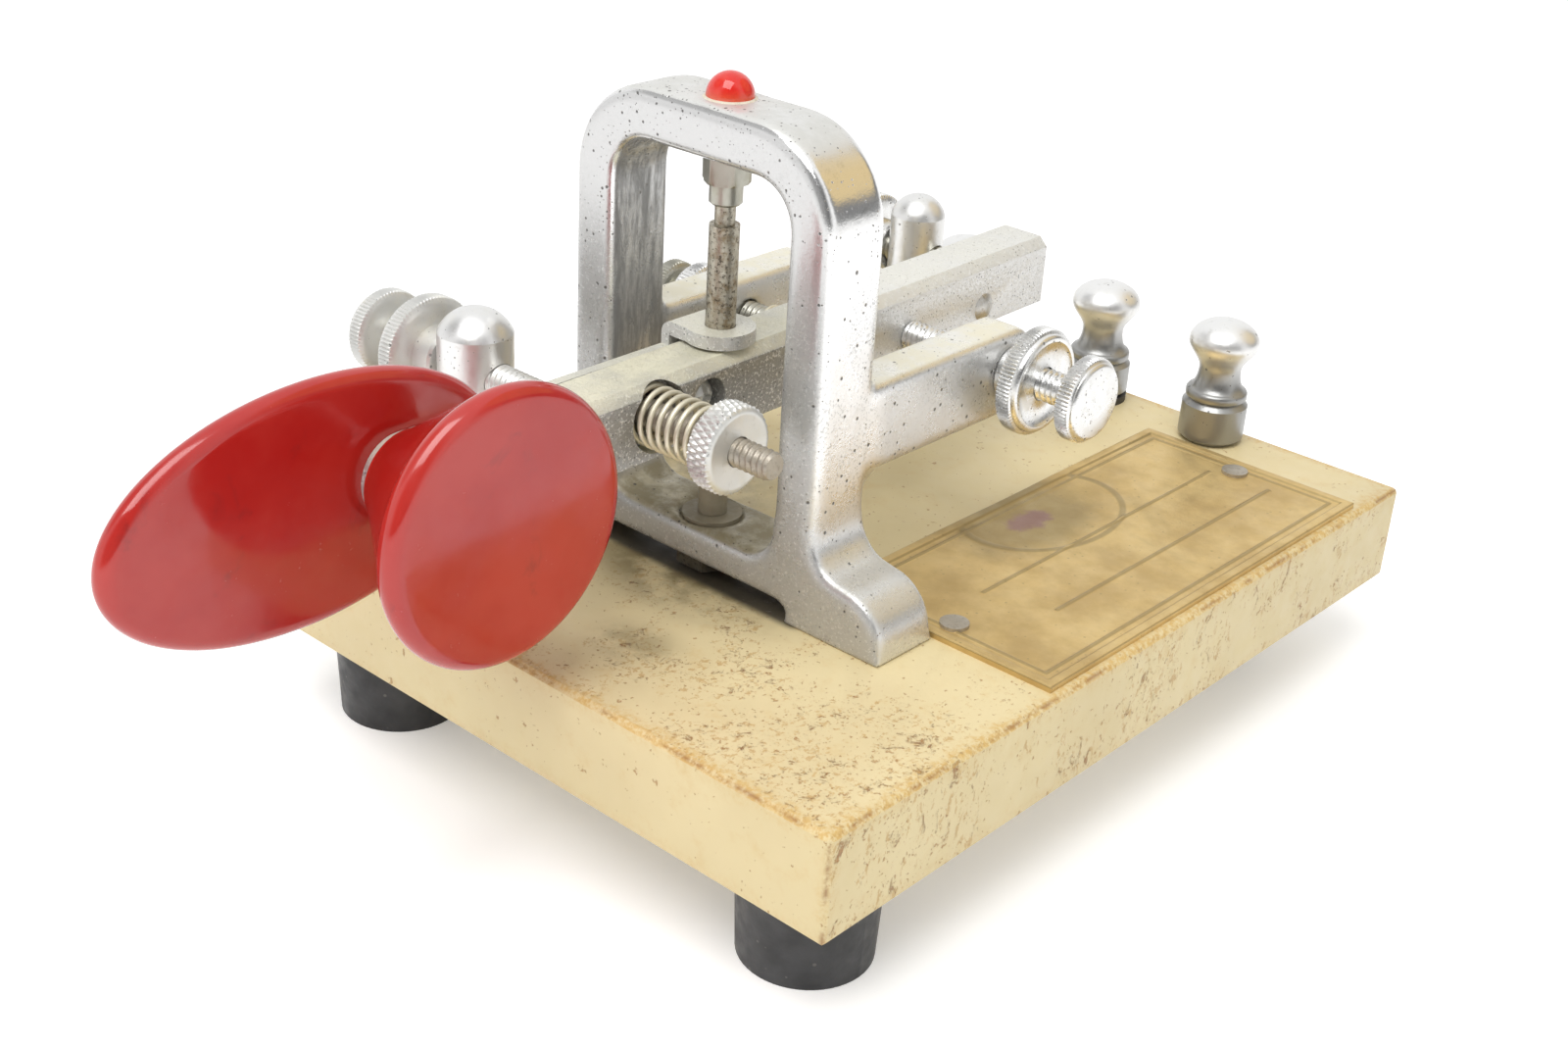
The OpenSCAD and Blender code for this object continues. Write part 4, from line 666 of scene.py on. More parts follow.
def makeJewel():
    # lighter low down, where the light gathers in a clear dome
    f = Finish("redJewel", 0.0, 0.03)
    low = span("jewel")[0]
    rise = f.ramp(f.split(f.p)[2], float(low[2] / mm) + 0.6, float(low[2] / mm) + 2.2)
    colour = f.mix(rise, (1.0, 0.16, 0.065), (0.96, 0.03, 0.02))
    f.give("Base Color", f.mix(f.cloud(0.9, 3, 0.5, 0.45, 0.7, 0, 0.4), colour, (1.0, 0.08, 0.04)))
    f.bsdf.inputs["Transmission Weight"].default_value = 0.3
    f.bsdf.inputs["Coat Weight"].default_value = 0.25
    f.bsdf.inputs["Coat Roughness"].default_value = 0.02
    f.bsdf.inputs["IOR"].default_value = 1.5
    f.give("Normal", f.bump(f.noise(0.7, 2), 0.03, 0.4))
    return f.mat


cream = makeCream(creamPaint)
chrome = makeCastChrome(chromeCasting)
chromeSmall = makeTurned("turnedChrome", {**chromeCasting, "bright": (0.82, 0.82, 0.81)}, 1.0, (0.20, 0.36),
                         0.15)
postMetal = makeTurned("postMetal",
                       {**chromeCasting, "bright": (0.80, 0.80, 0.79), "low": (0.34, 0.34, 0.335),
                        "from": (14, 23)},
                       0.4, (0.28, 0.40), 0.15, 0.85)
chromeDull = makeTurned("dullChrome",
                        {**chromeCasting, "bright": (0.86, 0.86, 0.85), "low": (0.36, 0.36, 0.35),
                         "from": (8, 15)},
                        0.15, (0.30, 0.40), 0.1, 0.85)
satin = makeTurned("satinNickel",
                   {**chromeCasting, "bright": (0.74, 0.74, 0.715), "film": (0.78, 0.74, 0.62)}, 0.25,
                   (0.36, 0.50), 0.4, 0.75)
nickel = makeTurned("olderNickel",
                    {**chromeCasting, "bright": (0.47, 0.46, 0.40), "film": (0.34, 0.31, 0.22)}, 0.3,
                    (0.28, 0.42), 0.6)
cast = makeCast("castBar", castLever)
castBright = makeCast("plainBar", {**castLever, "grey": (0.66, 0.66, 0.64)}, 0.6)
rusty = makeSteel("stainedSteel", {**rustySteel, "mudAndShade": (0.37, 0.335, 0.25), "murkAndShade": (0.22, 0.19, 0.125)})
studSteel = makeSteel("dustySteel",
                      {"steel": (0.44, 0.40, 0.335), "rust": (0.36, 0.30, 0.215),
                       "dark": (0.18, 0.15, 0.11)}, 0.5, 0.5)
sooty = makeSteel("sootySteel",
                  {"steel": (0.12, 0.11, 0.085), "rust": (0.09, 0.075, 0.05), "dark": (0.04, 0.035, 0.028)},
                  1.0, 0.4)
steel = makeSteel("plainSteel", {**rustySteel, "steel": (0.58, 0.57, 0.54)}, rust=0.35, rough=0.36)
plateBrass = makePlateBrass(plateTarnish)
cleanBrass = makeBrass("cleanBrass", {**wornBrass, "gold": (0.78, 0.62, 0.33)}, 0.95, 0.34, 0.4)
springBrass = makeBrass("springWire",
                        {"gold": (0.84, 0.79, 0.63), "dull": (0.72, 0.66, 0.50), "dark": (0.24, 0.20, 0.13)},
                        0.5, 0.36, 0.5)
red = makeRed("redPlastic", redPlastic)
rubber = makeRubber()
fibre = makeFibre()
cement = makeSteel("oldCement",
                   {"steel": (0.74, 0.69, 0.56), "rust": (0.62, 0.55, 0.40), "dark": (0.40, 0.35, 0.25)},
                   0.6, 0.0, 0.5)
jewelRed = makeJewel()
print("finishes made")

finishOf = {
    "rubber_feet": rubber, "foot_screws": steel, "frame_screws": steel, "lower_bearing": rusty,
    "lower_bearing_nut": sooty, "dash_post": postMetal,
    "dot_post": postMetal, "post_insulators": fibre, "under_washers": fibre, "post_nuts": cleanBrass,
    "terminal_studs": chromeDull, "terminal_insulators": fibre, "terminal_nuts": cleanBrass,
    "dash_strap": cleanBrass, "dot_strap": cleanBrass, "trunnion_pin": rusty, "dot_contact": cleanBrass,
    "leaf_rivet": steel, "dash_lever": castBright, "dash_contact": cleanBrass,
}
for node, finish in finishOf.items():
    nodes[node].data.materials.clear()
    nodes[node].data.materials.append(finish)
print("CAD nodes finished:", len(finishOf))

# Slab, casting and bars: the CAD solids with their edges eased

slabEase = {"width": 0.32, "segments": 3, "from": 25, "sharp": 24}
leverEase = {"width": 0.22, "segments": 2, "from": 25, "sharp": 30}


def easeEdges(node, name, finish, s):
    piece = copyOf(node, name)
    soften = piece.modifiers.new("ease", "BEVEL")
    soften.width = s["width"] * mm
    soften.segments = s["segments"]
    soften.limit_method = "ANGLE"
    soften.angle_limit = math.radians(s["from"])
    applyAll(piece)
    smoothShade(piece.data)
    piece.data.set_sharp_from_angle(angle=math.radians(s["sharp"]))
    standFor(piece, node, finish)


def pointsOf(piece):
    points = np.empty(len(piece.data.vertices) * 3)
    piece.data.vertices.foreach_get("co", points)
    return points.reshape(-1, 3)


castingEase = {"voxel": 0.3, "rounds": 6, "share": 0.5, "more": 70, "arm": 0.22, "arch": 0.45,
               "level": (3.1, 4.3)}


def makeCasting(s):
    piece = copyOf("frame", "casting", 0.2)
    grid = piece.modifiers.new("grid", "REMESH")
    grid.mode = "VOXEL"
    grid.voxel_size = s["voxel"] * mm
    smooth = piece.modifiers.new("ease", "SMOOTH")
    smooth.factor = s["share"]
    smooth.iterations = s["rounds"]
    applyAll(piece)
    # edges of feet, bar and arch are well rounded; the arms keep a crisper edge and the soles stay flat
    low, high = span("frame")
    points = pointsOf(piece)
    back = (points[:, 1] - low[1]) / mm
    height = (points[:, 2] - low[2]) / mm
    weight = ease(height, 0.2, 1.6) * (1 - (1 - s["arm"]) * ease(back, 9.0, 13.0))
    weight *= 1 - (1 - s["arch"]) * ease(height, 14.0, 24.0)
    group = piece.vertex_groups.new(name="round")
    for level in range(1, 11):
        chosen = np.nonzero(np.round(weight * 10) == level)[0]
        if len(chosen):
            group.add(chosen.tolist(), level / 10, "REPLACE")
    smooth = piece.modifiers.new("round", "SMOOTH")
    smooth.factor = s["share"]
    smooth.iterations = s["more"]
    smooth.vertex_group = "round"
    applyAll(piece)
    piece.vertex_groups.clear()
    # the crown stays level round the jewel
    points = pointsOf(piece)
    seat = middle("jewel")
    away = np.hypot(points[:, 0] - seat[0], points[:, 1] - seat[1]) / mm
    lift = (1 - ease(away, *s["level"])) * (points[:, 2] > high[2] - 1.6 * mm) * (away > 2.45)
    points[:, 2] += lift * (high[2] - points[:, 2])
    piece.data.vertices.foreach_set("co", points.ravel())
    smoothShade(piece.data)
    standFor(piece, "frame", chrome)


easeEdges("base", "slab", cream, slabEase)
makeCasting(castingEase)
easeEdges("main_lever", "castLever", cast, leverEase)
print("slab, casting and lever eased")

# Knurled screws and nuts

screwCut = {"shank": 2.0, "pitch": 0.79, "depth": 0.26, "headT": 2.8, "teeth": 13.2, "tooth": 0.24,
            "nutT": 3.0, "hubR": 3.3, "bore": 2.05}


def threadRows(start, stop, radius, pitch, depth, count=40, lead=0.4):
    # r(z, a) = radius - depth saw(z / pitch - a / turn), drawn in to the core over the lead at each end
    z = np.linspace(start, stop, max(8, int((stop - start) / pitch * 8)))
    a = np.linspace(0, tau, count, endpoint=False)
    r = radius - depth * (1 - saw(z[:, None] / pitch - a[None, :] / tau))
    ends = np.minimum(z - start, stop - z)
    return z, np.minimum(r, radius - depth * 1.1 * np.clip(1 - ends / lead, 0, 1)[:, None])


def closeRows(z, r, count):
    # adds a point on the axis before and after, so the surface closes
    r = np.broadcast_to(np.asarray(r, float).reshape(len(z), -1), (len(z), count))
    zero = np.zeros((1, count))
    return np.concatenate([[z[0]], z, [z[-1]]]), np.concatenate([zero, r, zero])


def knurlRows(rows, teeth, tooth, count):
    # rows hold z, r and the share of the knurl there; straight teeth are a triangle wave round the rim
    rows = np.array(rows, float)
    a = np.arange(count) / count
    return rows[:, 0], rows[:, 1:2] - tooth * rows[:, 2:3] * (1 - saw(teeth * a))[None, :]


def makeScrew(node, name, way, tipR, tipL, finish, s):
    origin, length, headR = lathe(node, 0, way)
    axis = (way, 0, 0)
    headLow = length - s["headT"]
    grids = []
    z, r = threadRows(tipL, headLow + 0.2, s["shank"], s["pitch"], s["depth"])
    grids.append(turned(origin, axis, *closeRows(z, r, 40), 40))
    if tipL > 0:
        z = np.array([0, 0, 0.15, tipL + 0.1])
        grids.append(turned(origin, axis,
                            *closeRows(z, np.array([tipR * 0.5, tipR - 0.15, tipR, tipR]), 32), 32))
    headT = s["headT"]
    teeth = round(s["teeth"] * headR)      # teeth for each millimetre of radius
    count = teeth * 6
    rows = [(0, 2.2, 0), (0, headR - 0.95, 0), (0.18, headR - 0.55, 0), (0.38, headR - 0.12, 0.3),
            (0.5, headR, 1),
            (headT - 0.85, headR, 1), (headT - 0.72, headR - 0.12, 0.3), (headT - 0.62, headR - 0.42, 0),
            (headT - 0.5, headR - 0.5, 0), (headT - 0.3, headR - 0.47, 0), (headT - 0.1, headR - 0.62, 0),
            (headT, headR - 0.9, 0), (headT, headR * 0.4, 0)]
    z, r = knurlRows(rows, teeth, s["tooth"], count)
    grids.append(turned(origin, axis, *closeRows(headLow + z, r, count), count))
    standFor(putSurface(name, grids), node, finish)


def makeLockNut(node, name, way, finish, s):
    origin, deep, rim = lathe(node, 0, way)
    hub = deep - s["nutT"]
    teeth = round(s["teeth"] * rim)
    count = teeth * 6
    rows = [(0, s["bore"], 0), (0, s["hubR"] - 0.3, 0), (0.3, s["hubR"], 0), (hub, s["hubR"], 0),
            (hub, rim - 0.95, 0),
            (hub + 0.2, rim - 0.55, 0), (hub + 0.38, rim - 0.12, 0.3), (hub + 0.5, rim, 1),
            (deep - 0.95, rim, 1),
            (deep - 0.8, rim - 0.12, 0.3), (deep - 0.68, rim - 0.45, 0), (deep - 0.3, rim - 0.5, 0),
            (deep - 0.08, rim - 0.7, 0), (deep, rim - 0.95, 0), (deep, rim - 1.25, 0),
            (deep - 0.35, rim - 1.6, 0),
            (deep - 0.5, min(3.4, rim - 1.7), 0), (deep - 0.5, 2.6, 0), (deep - 0.3, s["bore"], 0),
            (0, s["bore"], 0)]
    z, r = knurlRows(rows, teeth, s["tooth"], count)
    standFor(putSurface(name, [turned(origin, (way, 0, 0), z, r, count)]), node, finish)


for which, way, tipR, tipL, finish in (("stop", 1, 0, 0, chromeSmall), ("spring", -1, 1.4, 3.0, nickel),
                                       ("dash", -1, 1.3, 0.8, satin), ("dot", -1, 1.3, 0.8, nickel)):
    makeScrew(which + "_screw", which + "Screw", way, tipR, tipL, finish, screwCut)
    makeLockNut(which + "_lock_nut", which + "LockNut", way, satin if which == "dash" else chromeSmall,
                screwCut)
print("screws and lock nuts cut")

springNutCut = {"rim": 5.0, "bore": 1.7, "teeth": 38, "tooth": 0.32}


def makeSpringNut(s):
    # diamond knurl: the lesser of two slanted triangle waves round the rim
    origin, thick = lathe("spring_nut", 0)[:2]
    count = s["teeth"] * 8
    a = np.arange(count) / count
    zBand = np.linspace(0.35, thick - 0.35, 18)
    slant = zBand[:, None] / (thick - 0.7) * 1.5
    wave = np.minimum(saw(s["teeth"] * a[None, :] + slant), saw(s["teeth"] * a[None, :] - slant))
    rBand = s["rim"] - s["tooth"] * (1 - wave)
    flat = np.ones((1, count))
    z = np.concatenate([[0, 0, 0.15], zBand, [thick - 0.15, thick, thick - 0.05, thick - 0.05, 0]])
    r = np.concatenate([flat * s["bore"], flat * (s["rim"] - 0.8), flat * (s["rim"] - 0.5), rBand,
                        flat * (s["rim"] - 0.45),
                        flat * (s["rim"] - 0.8), flat * (s["rim"] - 1.0), flat * s["bore"], flat * s["bore"]])
    standFor(putSurface("springNut", [turned(origin, (1, 0, 0), z, r, count)]), "spring_nut", satin)


def makeStud():
    origin, length = lathe("spring_stud", 0)[:2]
    z, r = threadRows(1.0, length, 1.65, 0.8, 0.27, 40, 0.6)
    head = np.array([0, 0.15, 0.6, 0.8])
    grids = [turned(origin, (1, 0, 0), *closeRows(z, r, 40), 40),
             turned(origin, (1, 0, 0), *closeRows(head, np.array([1.7, 2.5, 2.8, 2.8]), 40), 40)]
    standFor(putSurface("springStud", grids), "spring_stud", studSteel)


makeSpringNut(springNutCut)
makeStud()
print("spring nut and stud cut")

# Springs

coilWind = {"dash_spring": {"name": "dashSpring", "wire": 0.62, "turns": 9, "joint": "dash_hinge",
                            "keep": 0.94},
            "return_spring": {"name": "returnSpring", "wire": 0.5, "turns": 6, "joint": "lever_hinge",
                              "keep": 0.95}}


def makeCoil(node, s):
    # centre line: r (cos t, sin t) with a climb that lies flat over the first and last turn; a round tube
    # follows it
    low, high = span(node)
    centre = middle(node)
    radius = (high[1] - low[1]) / 2 / mm - s["wire"] / 2
    length = (high[0] - low[0]) / mm
    turn = np.linspace(0, s["turns"], s["turns"] * 30 + 1)
    wire, turns = s["wire"], s["turns"]
    climb = np.interp(turn, [0, 0.8, 1.2, turns - 1.2, turns - 0.8, turns],
                      [wire / 2, wire * 0.9, wire * 1.5, length - wire * 1.5, length - wire * 0.9,
                       length - wire / 2])
    climb = np.convolve(np.pad(climb, 6, mode="edge"), np.ones(13) / 13, mode="valid")
    path = np.stack([climb, radius * np.cos(turn * tau), radius * np.sin(turn * tau)], -1)
    ahead = np.gradient(path, axis=0)
    ahead /= np.linalg.norm(ahead, axis=1, keepdims=True)
    out = np.stack([np.zeros_like(turn), np.cos(turn * tau), np.sin(turn * tau)], -1)
    side = np.cross(ahead, out)
    a = np.linspace(0, tau, 12, endpoint=False)
    ring = np.cos(a)[None, :, None] * out[:, None] + np.sin(a)[None, :, None] * side[:, None]
    tube = path[:, None] + wire / 2 * ring
    tube = np.concatenate([np.repeat(path[:1, None], 12, 1), tube, np.repeat(path[-1:, None], 12, 1)])
    place = np.array([low[0], centre[1], centre[2]])
    piece = putSurface(s["name"], [place + tube * mm], sharp=60)
    standFor(piece, node, springBrass)
    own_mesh(piece)


for node, s in coilWind.items():
    makeCoil(node, s)
print("springs wound")

# Finger pieces

knobForm = {"stemR": 5.5, "stemL": 0.4, "power": 1.05, "edge": 1.5, "lean": -50}


def makeKnob(s):
    # turned profile: short stem, flare r = stem + span t^power, rounded rim, a face crowned by a tenth of
    # a millimetre
    origin, thick, rimR = lathe("finger_knob", 0)
    e = s["edge"]
    rim = arc(thick - e - 0.1, rimR - e, e, s["lean"], 85, 16)
    t = np.linspace(0, 1, 24)[:-1]
    flare = np.stack([s["stemL"] + (rim[0, 0] - s["stemL"]) * t,
                      s["stemR"] + (rim[0, 1] - s["stemR"]) * t ** s["power"]], -1)
    faceR = np.linspace(rimR - e - 0.2, 0.4, 12)
    face = np.stack([thick - 0.1 * (faceR / rimR) ** 2, faceR], -1)
    rows = np.concatenate([[(0, s["stemR"] - 0.3), (0.3, s["stemR"])], flare, rim, face])
    z, r = closeRows(rows[:, 0], rows[:, 1], 128)
    standFor(putSurface("fingerKnob", [turned(origin, (1, 0, 0), z, r, 128)], sharp=50), "finger_knob", red)


paddleForm = {"halfL": 23.49, "halfH": 12.99, "droop": 2.5, "crown": 0.15}


def makePaddle(s):
    # rings of an ellipse: drawn in along a half circle at the edge, then shrunk to the middle on both faces
    low, high = span("thumb_paddle")
    centre = middle("thumb_paddle")
    thick = (high[0] - low[0]) / mm
    e = thick / 2
    lean = np.radians(np.linspace(-90, 90, 17))
    inset = e * (1 - np.cos(lean))
    depth = (e - s["crown"]) * np.sin(lean)
    share = np.linspace(0, 1, 14)[:-1]
    inner = np.array([s["halfL"] - e, s["halfH"] - e])
    edge = np.stack([s["halfL"] - inset, s["halfH"] - inset], -1)
    faces = np.outer(share, inner)
    sizes = np.concatenate([faces, edge, faces[::-1]])
    lift = (e - s["crown"]) + s["crown"] * (1 - share ** 2)
    across = np.concatenate([-lift, depth, lift[::-1]])
    a = np.linspace(0, tau, 160, endpoint=False)
    y = sizes[:, :1] * np.cos(a)[None]
    z = sizes[:, 1:] * np.sin(a)[None]
    tilt = math.radians(s["droop"])
    grid = np.stack([np.broadcast_to(across[:, None], y.shape), y * math.cos(tilt) - z * math.sin(tilt),
                     y * math.sin(tilt) + z * math.cos(tilt)], -1)
    standFor(putSurface("thumbPaddle", [centre + grid * mm], sharp=50), "thumb_paddle", red)


makeKnob(knobForm)
makePaddle(paddleForm)
print("knob and paddle shaped")

terminalForm = {"skirtR": 4.1, "skirtH": 1.2, "waistR": 2.8, "waistZ": 3.9, "cap": 3.0}


def makeTerminalKnob(node, name, s):
    # turned profile: skirt, quarter of an ellipse into the waist, S-curve out to the widest place, half an
    # ellipse over the top
    origin, tall, wide = lathe(node, 2)
    a = np.radians(np.linspace(0, 90, 12))
    hollow = np.stack([s["waistZ"] - (s["waistZ"] - s["skirtH"]) * np.cos(a),
                       s["skirtR"] - (s["skirtR"] - s["waistR"]) * np.sin(a)], -1)
    climb = np.linspace(s["waistZ"], tall - s["cap"], 16)[1:]
    swell = np.stack([climb, s["waistR"] + (wide - s["waistR"]) * ease(climb, climb[0], climb[-1])], -1)
    a = np.radians(np.linspace(0, 86, 18))[1:]
    cap = np.stack([tall - s["cap"] + s["cap"] * np.sin(a) / np.sin(a[-1]), wide * np.cos(a)], -1)
    rows = np.concatenate([[(0, s["skirtR"] - 0.2), (0.2, s["skirtR"]), (s["skirtH"] - 0.25, s["skirtR"])],
                           hollow[1:], swell, cap])
    z, r = closeRows(rows[:, 0], rows[:, 1], 72)
    standFor(putSurface(name, [turned(origin, (0, 0, 1), z, r, 72)], sharp=50), node, chromeDull)


for which in ("Left", "Mid", "Right"):
    makeTerminalKnob("terminal_knob_" + which.lower(), "terminalKnob" + which, terminalForm)
print("terminal knobs turned")

# Small heads with a recess: a dome over a polar grid, pressed in by a cross or a slot

headForms = {"clamp_screw": {"name": "clampScrew", "axis": (1, 0, 0), "r": 2.0, "h": 1.4, "cut": "cross",
                             "shank": 1.3},
             "paddle_screw": {"name": "paddleScrew", "axis": (-1, 0, 0), "r": 3.0, "h": 1.6, "cut": "slot",
                              "shank": 1.7}}


def headGrid(origin, axis, r, h, cut, turn, shank, reach):
    count = 120
    along, side, other = squareTo(axis)
    ball = (r * r + h * h) / (2 * h)
    rad = np.concatenate([np.linspace(0, r * 0.97, 40), [r]])
    a = np.linspace(0, tau, count, endpoint=False)
    x = rad[:, None] * np.cos(a + turn)[None]
    y = rad[:, None] * np.sin(a + turn)[None]
    z = np.sqrt(np.maximum(ball * ball - rad ** 2, 0)) - (ball - h)
    z = np.broadcast_to(z[:, None], x.shape).copy()
    soft, half, arm = 0.06 * r, 0.13 * r, 0.62 * r
    slot = (1 - ease(np.abs(y), half, half + soft))
    if cut == "cross":
        slot = slot * (1 - ease(np.abs(x), arm, arm + soft * 3))
        slot = np.maximum(slot, (1 - ease(np.abs(x), half,
                                          half + soft)) * (1 - ease(np.abs(y), arm, arm + soft * 3)))
    z = z - slot * np.minimum(0.55 * h, np.maximum(z - 0.15 * h, 0))
    rows = [z, np.zeros((1, count)), np.zeros((1, count)), np.full((1, count), -reach),
            np.full((1, count), -reach)]
    radii = [np.broadcast_to(rad[:, None], x.shape), np.full((1, count), r), np.full((1, count), shank),
             np.full((1, count), shank), np.zeros((1, count))]
    z, rr = np.concatenate(rows) * mm, np.concatenate(radii) * mm
    ring = np.cos(a + turn)[None, :, None] * side + np.sin(a + turn)[None, :, None] * other
    return np.asarray(origin) + z[:, :, None] * along + rr[:, :, None] * ring


for node, s in headForms.items():
    low, high = span(node)
    origin = middle(node)
    length = (high[0] - low[0]) / mm
    origin[0] = high[0] - s["h"] * mm if s["axis"][0] > 0 else low[0] + s["h"] * mm
    piece = putSurface(s["name"],
                       [headGrid(origin, s["axis"], s["r"], s["h"], s["cut"], 0.5, s["shank"],
                                 length - s["h"])], sharp=35)
    standFor(piece, node, satin if node == "clamp_screw" else steel)

underHeads = {"foot_screws": {"name": "footScrews", "r": 3.0, "h": 2.2, "shank": 1.7, "cut": "slot"},
              "frame_screws": {"name": "frameScrews", "r": 3.0, "h": 2.4, "shank": 1.75, "cut": "slot"}}


def placesOf(node):
    # middles of the separate solids in a node, found by walking along their edges
    bm = bmesh.new()
    bm.from_mesh(nodes[node].data)
    bmesh.ops.remove_doubles(bm, verts=bm.verts, dist=2e-6)
    left, places = set(bm.verts), []
    while left:
        pile, found = [left.pop()], []
        while pile:
            vert = pile.pop()
            found.append(vert.co[:2])
            for edge in vert.link_edges:
                other = edge.other_vert(vert)
                if other in left:
                    left.remove(other)
                    pile.append(other)
        found = np.array(found)
        places.append(tuple(((found.min(0) + found.max(0)) / 2).tolist()))
    bm.free()
    return sorted(places)


for node, s in underHeads.items():
    low, high = span(node)
    grids = []
    for k, (x, y) in enumerate(placesOf(node)):
        grids.append(headGrid((x, y, low[2] + s["h"] * mm), (0, 0, -1), s["r"], s["h"], s["cut"],
                              0.4 + 0.9 * k, s["shank"],
                              (high[2] - low[2]) / mm - s["h"]))
    standFor(putSurface(s["name"], grids, sharp=35), node, steel)
print("recessed heads pressed")

# Jewel and nameplate

cupForm = {"flats": 4.7, "hexT": 3.2, "collarR": 1.85, "collarL": 2.4, "shankR": 2.3, "boreR": 1.15,
           "boreL": 2.2, "soft": 0.25}


def makeCup(s):
    # hexagon: r(a) = half the flats / cos(a from the middle of the flat), its lower corners cut by a cone
    origin, end = lathe("upper_bearing", 2)[:2]
    count = 120
    a = np.arange(count) / count * tau
    half = s["flats"] / 2
    hexR = half / np.cos((a % (tau / 6)) - tau / 12)
    hexLow, hexTop = s["collarL"], s["collarL"] + s["hexT"]
    flat = np.ones(count)
    rows = [(s["boreL"], flat * 0), (s["boreL"], flat * s["boreR"]), (0, flat * s["boreR"]),
            (0, flat * (s["collarR"] - s["soft"])), (s["soft"], flat * s["collarR"]),
            (hexLow, flat * s["collarR"]),
            (hexLow, np.minimum(hexR, half + 0.12)), (hexLow + 0.3, hexR), (hexTop, hexR),
            (hexTop, flat * s["shankR"]),
            (end, flat * s["shankR"]), (end, flat * 0)]
    z = np.array([row[0] for row in rows])
    r = np.stack([row[1] for row in rows])
    standFor(putSurface("bearingCup", [turned(origin, (0, 0, 1), z, r, count)], sharp=30), "upper_bearing",
             nickel)


jewelForm = {"seat": 0.8, "rise": 0.16, "rimW": 0.3}


def makeJewelDome(s):
    origin, tall, domeR = lathe("jewel", 2)
    foot = s["seat"] + s["rise"]
    domeH = tall - foot
    a = np.radians(np.linspace(0, 90, 24))
    rows = np.concatenate([[(0, domeR)], np.stack([foot + domeH * np.sin(a), domeR * np.cos(a)], -1)])
    z, r = closeRows(rows[:, 0], rows[:, 1], 64)
    standFor(putSurface("crownJewel", [turned(origin, (0, 0, 1), z, r, 64)], sharp=60), "jewel", jewelRed)
    # rim: a low rounded ring of old cement round the jewel
    out = domeR + s["rimW"]
    rows = np.array([(s["seat"] - 0.2, domeR), (s["seat"] - 0.2, out + 0.1), (s["seat"], out),
                     (foot - 0.05, domeR + 0.15), (foot, domeR),
                     (s["seat"] - 0.2, domeR)])
    rim = putSurface("jewelRim", [turned(origin, (0, 0, 1), rows[:, 0], rows[:, 1], 64)], sharp=50)
    dress(rim, cement, nodes["frame"]["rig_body"])


plateForm = {"across": 190, "along": 400, "rim": 1.3, "lip": 0.28, "line": 2.3, "bead": 0.14,
             "ovalRise": 0.09, "hollow": 0.10, "ruleRise": 0.15, "fall": 0.12,
             "oval": (5.0, 34.5, 9.2, 12.4), "rules": ((13.2, 12.0, 61.0), (21.5, 15.0, 62.0))}


def makePlate(s):
    # height over a grid: raised rim, a fine border line, a plain oval and two plain rules; x and y in mm
    # from the corner
    low, high = span("nameplate")
    wide, deep = (high[0] - low[0]) / mm, (high[1] - low[1]) / mm
    thick = (high[2] - low[2]) / mm
    x, y = np.meshgrid(np.linspace(0, wide, s["across"]), np.linspace(0, deep, s["along"]), indexing="ij")
    border = np.minimum(np.minimum(x, wide - x), np.minimum(y, deep - y))
    z = thick - s["lip"] + s["lip"] * (1 - ease(border, s["rim"] * 0.8, s["rim"] * 1.1))
    z = z + s["bead"] * (1 - ease(np.abs(border - s["line"]), 0.12, 0.34))
    cx, cy, rx, ry = s["oval"]
    ring = np.hypot((x - cx) / rx, (y - cy) / ry)
    z = z + s["ovalRise"] * (1 - ease(np.abs(ring - 1), 0.01,
                                      0.07)) - s["hollow"] * (1 - ease(ring, 0.5, 1.0))
    for place, start, stop in s["rules"]:
        off = np.maximum(np.abs(x - place), np.maximum(start - y, y - stop))
        z = z + s["ruleRise"] * (1 - ease(off, 0.14, 0.36))
    z = np.minimum(z, thick) - s["fall"] * (1 - ease(border, 0.0, 0.2))
    top = np.stack([low[0] + x * mm, low[1] + y * mm, low[2] + z * mm], -1)
    foot = top.copy()
    foot[:, :, 2] = low[2]
    walls = [np.stack([top[0], foot[0]]), np.stack([top[-1], foot[-1]]), np.stack([top[:, 0], foot[:, 0]]),
             np.stack([top[:, -1], foot[:, -1]])]
    standFor(putSurface("plainPlate", [top, foot[::-1]] + walls, wrap=False, sharp=50), "nameplate",
             plateBrass)


pinForm = {"r": 1.7, "edge": 0.15}


def makePlatePins(s):
    # low domes: z = rise (1 - (r / rim)^2) over a short edge, on shanks that keep the node's depth
    plateTop = span("nameplate")[1][2]
    rise = (span("nameplate_pins")[1][2] - plateTop) / mm
    grids = []
    for x, y in placesOf("nameplate_pins"):
        r = np.linspace(0.05, s["r"], 12)[::-1]
        z = s["edge"] + (rise - s["edge"]) * (1 - (r / s["r"]) ** 2)
        z, r = closeRows(np.concatenate([[-0.3], z]), np.concatenate([[s["r"]], r]), 40)
        grids.append(turned((x, y, plateTop), (0, 0, 1), z, r, 40))
    standFor(putSurface("platePins", grids, sharp=50), "nameplate_pins", studSteel)


makePlatePins(pinForm)
makeCup(cupForm)
makeJewelDome(jewelForm)
makePlate(plateForm)
print("jewel and plate set")

# Floor, room and lamps

studio = {"floor": (0.97, 0.97, 0.97), "lift": 0.26, "key": 6.6, "room": 0.68, "dark": 0.16,
          "tan": (0.78, 0.61, 0.34)}


# rays of the camera, of mirrors and of lenses; the others are the light on the object
eyeRays = ("Is Camera Ray", "Is Glossy Ray", "Is Transmission Ray")


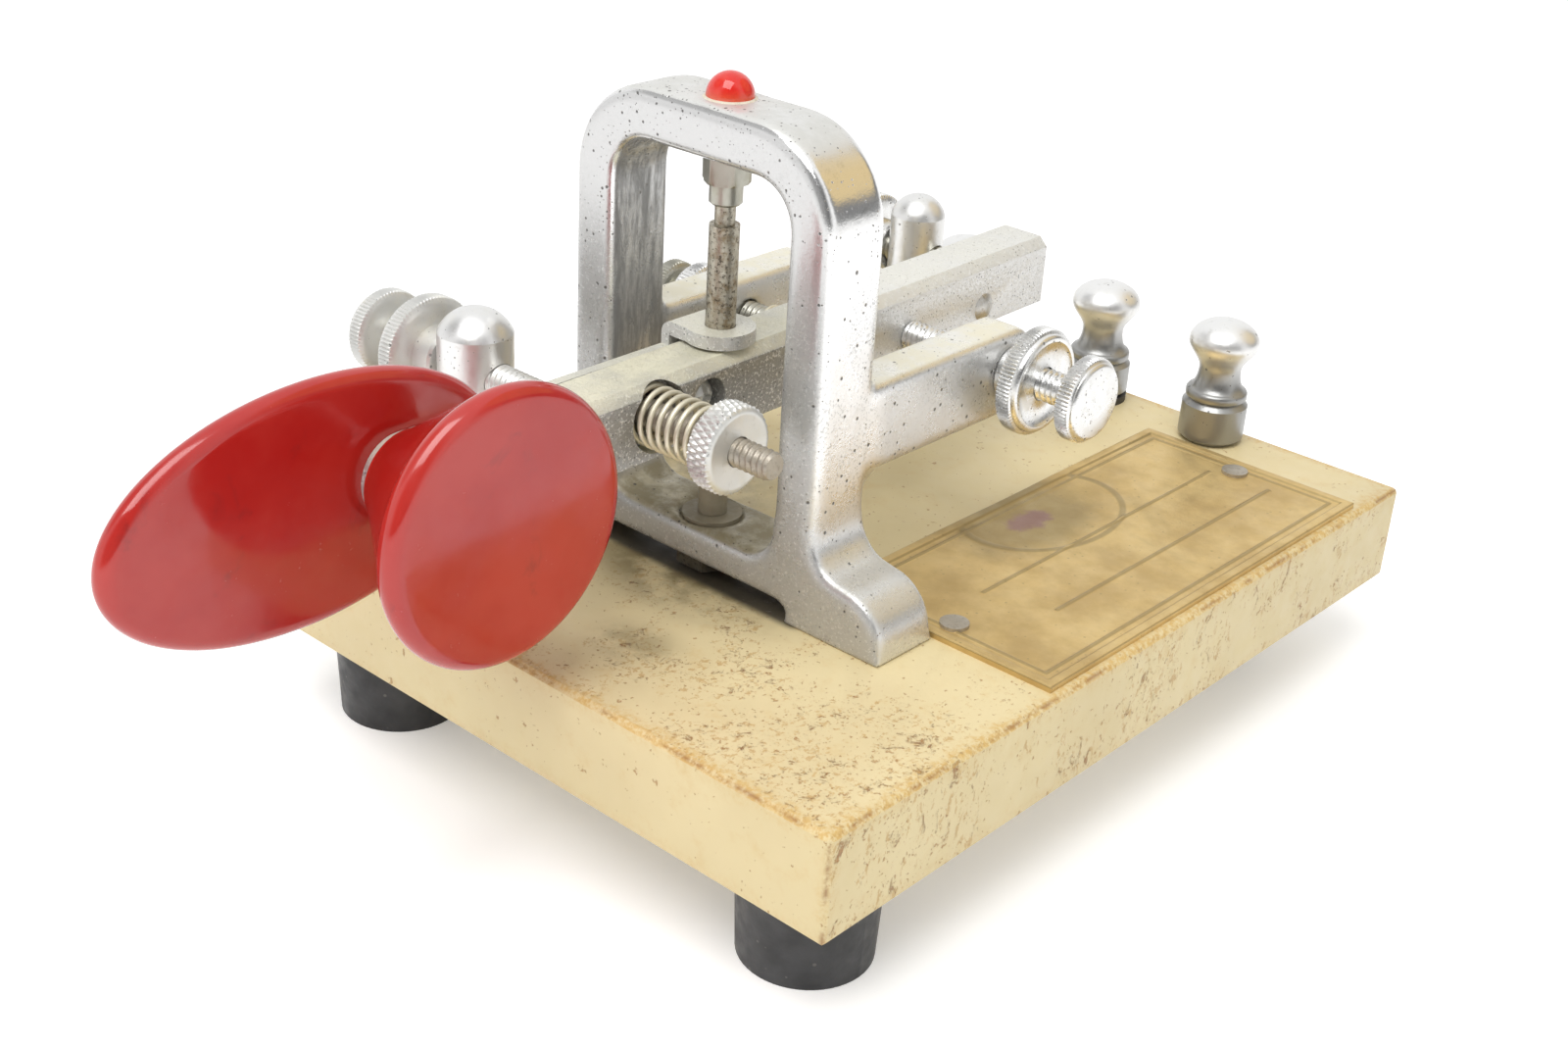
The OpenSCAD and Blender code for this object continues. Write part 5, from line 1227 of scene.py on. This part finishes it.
def makeStage(s):
    edge = 3.0
    mesh = bpy.data.meshes.new("floor")
    mesh.from_pydata([(-edge, -edge, 0), (edge, -edge, 0), (edge, edge, 0), (-edge, edge, 0)], [],
                     [(0, 1, 2, 3)])
    floor = bpy.data.objects.new("floor", mesh)
    bpy.context.scene.collection.objects.link(floor)
    f = Finish("paleFloor", 0.0, 0.7)
    f.give("Base Color", f.mix(f.noise(0.01, 3), s["floor"], tuple(0.985 * c for c in s["floor"])))
    f.bsdf.inputs["Specular IOR Level"].default_value = 0.2
    f.bsdf.inputs["Emission Color"].default_value = (1, 1, 1, 1)
    f.give("Emission Strength", f.times(f.seen(*eyeRays), s["lift"]))
    mesh.materials.append(f.mat)

    # room: even light on the object and white to the eye; in reflections dark behind the camera, and a tan
    # wall behind on the right
    world = bpy.data.worlds.new("room")
    bpy.context.scene.world = world
    world.use_nodes = True
    sky = Shader(world.node_tree, "Generated")

    def patch(aim, *limits):
        return sky.ramp(sky.vector("DOT_PRODUCT", sky.p, Vector(aim).normalized()), *limits)

    white, dark = (1.0, 1.0, 1.0), (s["dark"],) * 3
    colour = sky.mix(patch((0.66, -0.75, 0.30), 0.55, 0.90, 0.0, 1.0), white, dark)
    colour = sky.mix(patch((0.50, 0.74, 0.42), 0.82, 0.90, 0.0, 0.9), colour, dark)
    colour = sky.mix(patch((0.45, 0.68, 0.58), 0.915, 0.935, 0.0, 1.0), colour, s["tan"])
    colour = sky.mix(patch((-0.58, -0.42, 0.66), 0.90, 0.97, 0.0, 0.7), colour, dark)
    colour = sky.mix(sky.seen("Is Camera Ray"), colour, white)
    colour = sky.mix(sky.seen(*eyeRays), (s["room"],) * 3, colour)
    sky.feed(sky.tree.nodes["Background"].inputs["Color"], colour)

    def lamp(name, place, aim, size, power):
        data = bpy.data.lights.new(name, "AREA")
        data.energy = power
        data.size = size
        light = bpy.data.objects.new(name, data)
        bpy.context.scene.collection.objects.link(light)
        light.location = place
        light.rotation_euler = (Vector(aim) - Vector(place)).to_track_quat("-Z", "Y").to_euler()

    lamp("keyBox", (0.12, -0.42, 0.95), (0, 0, 0.03), 0.7, s["key"])


makeStage(studio)
print("stage lit")
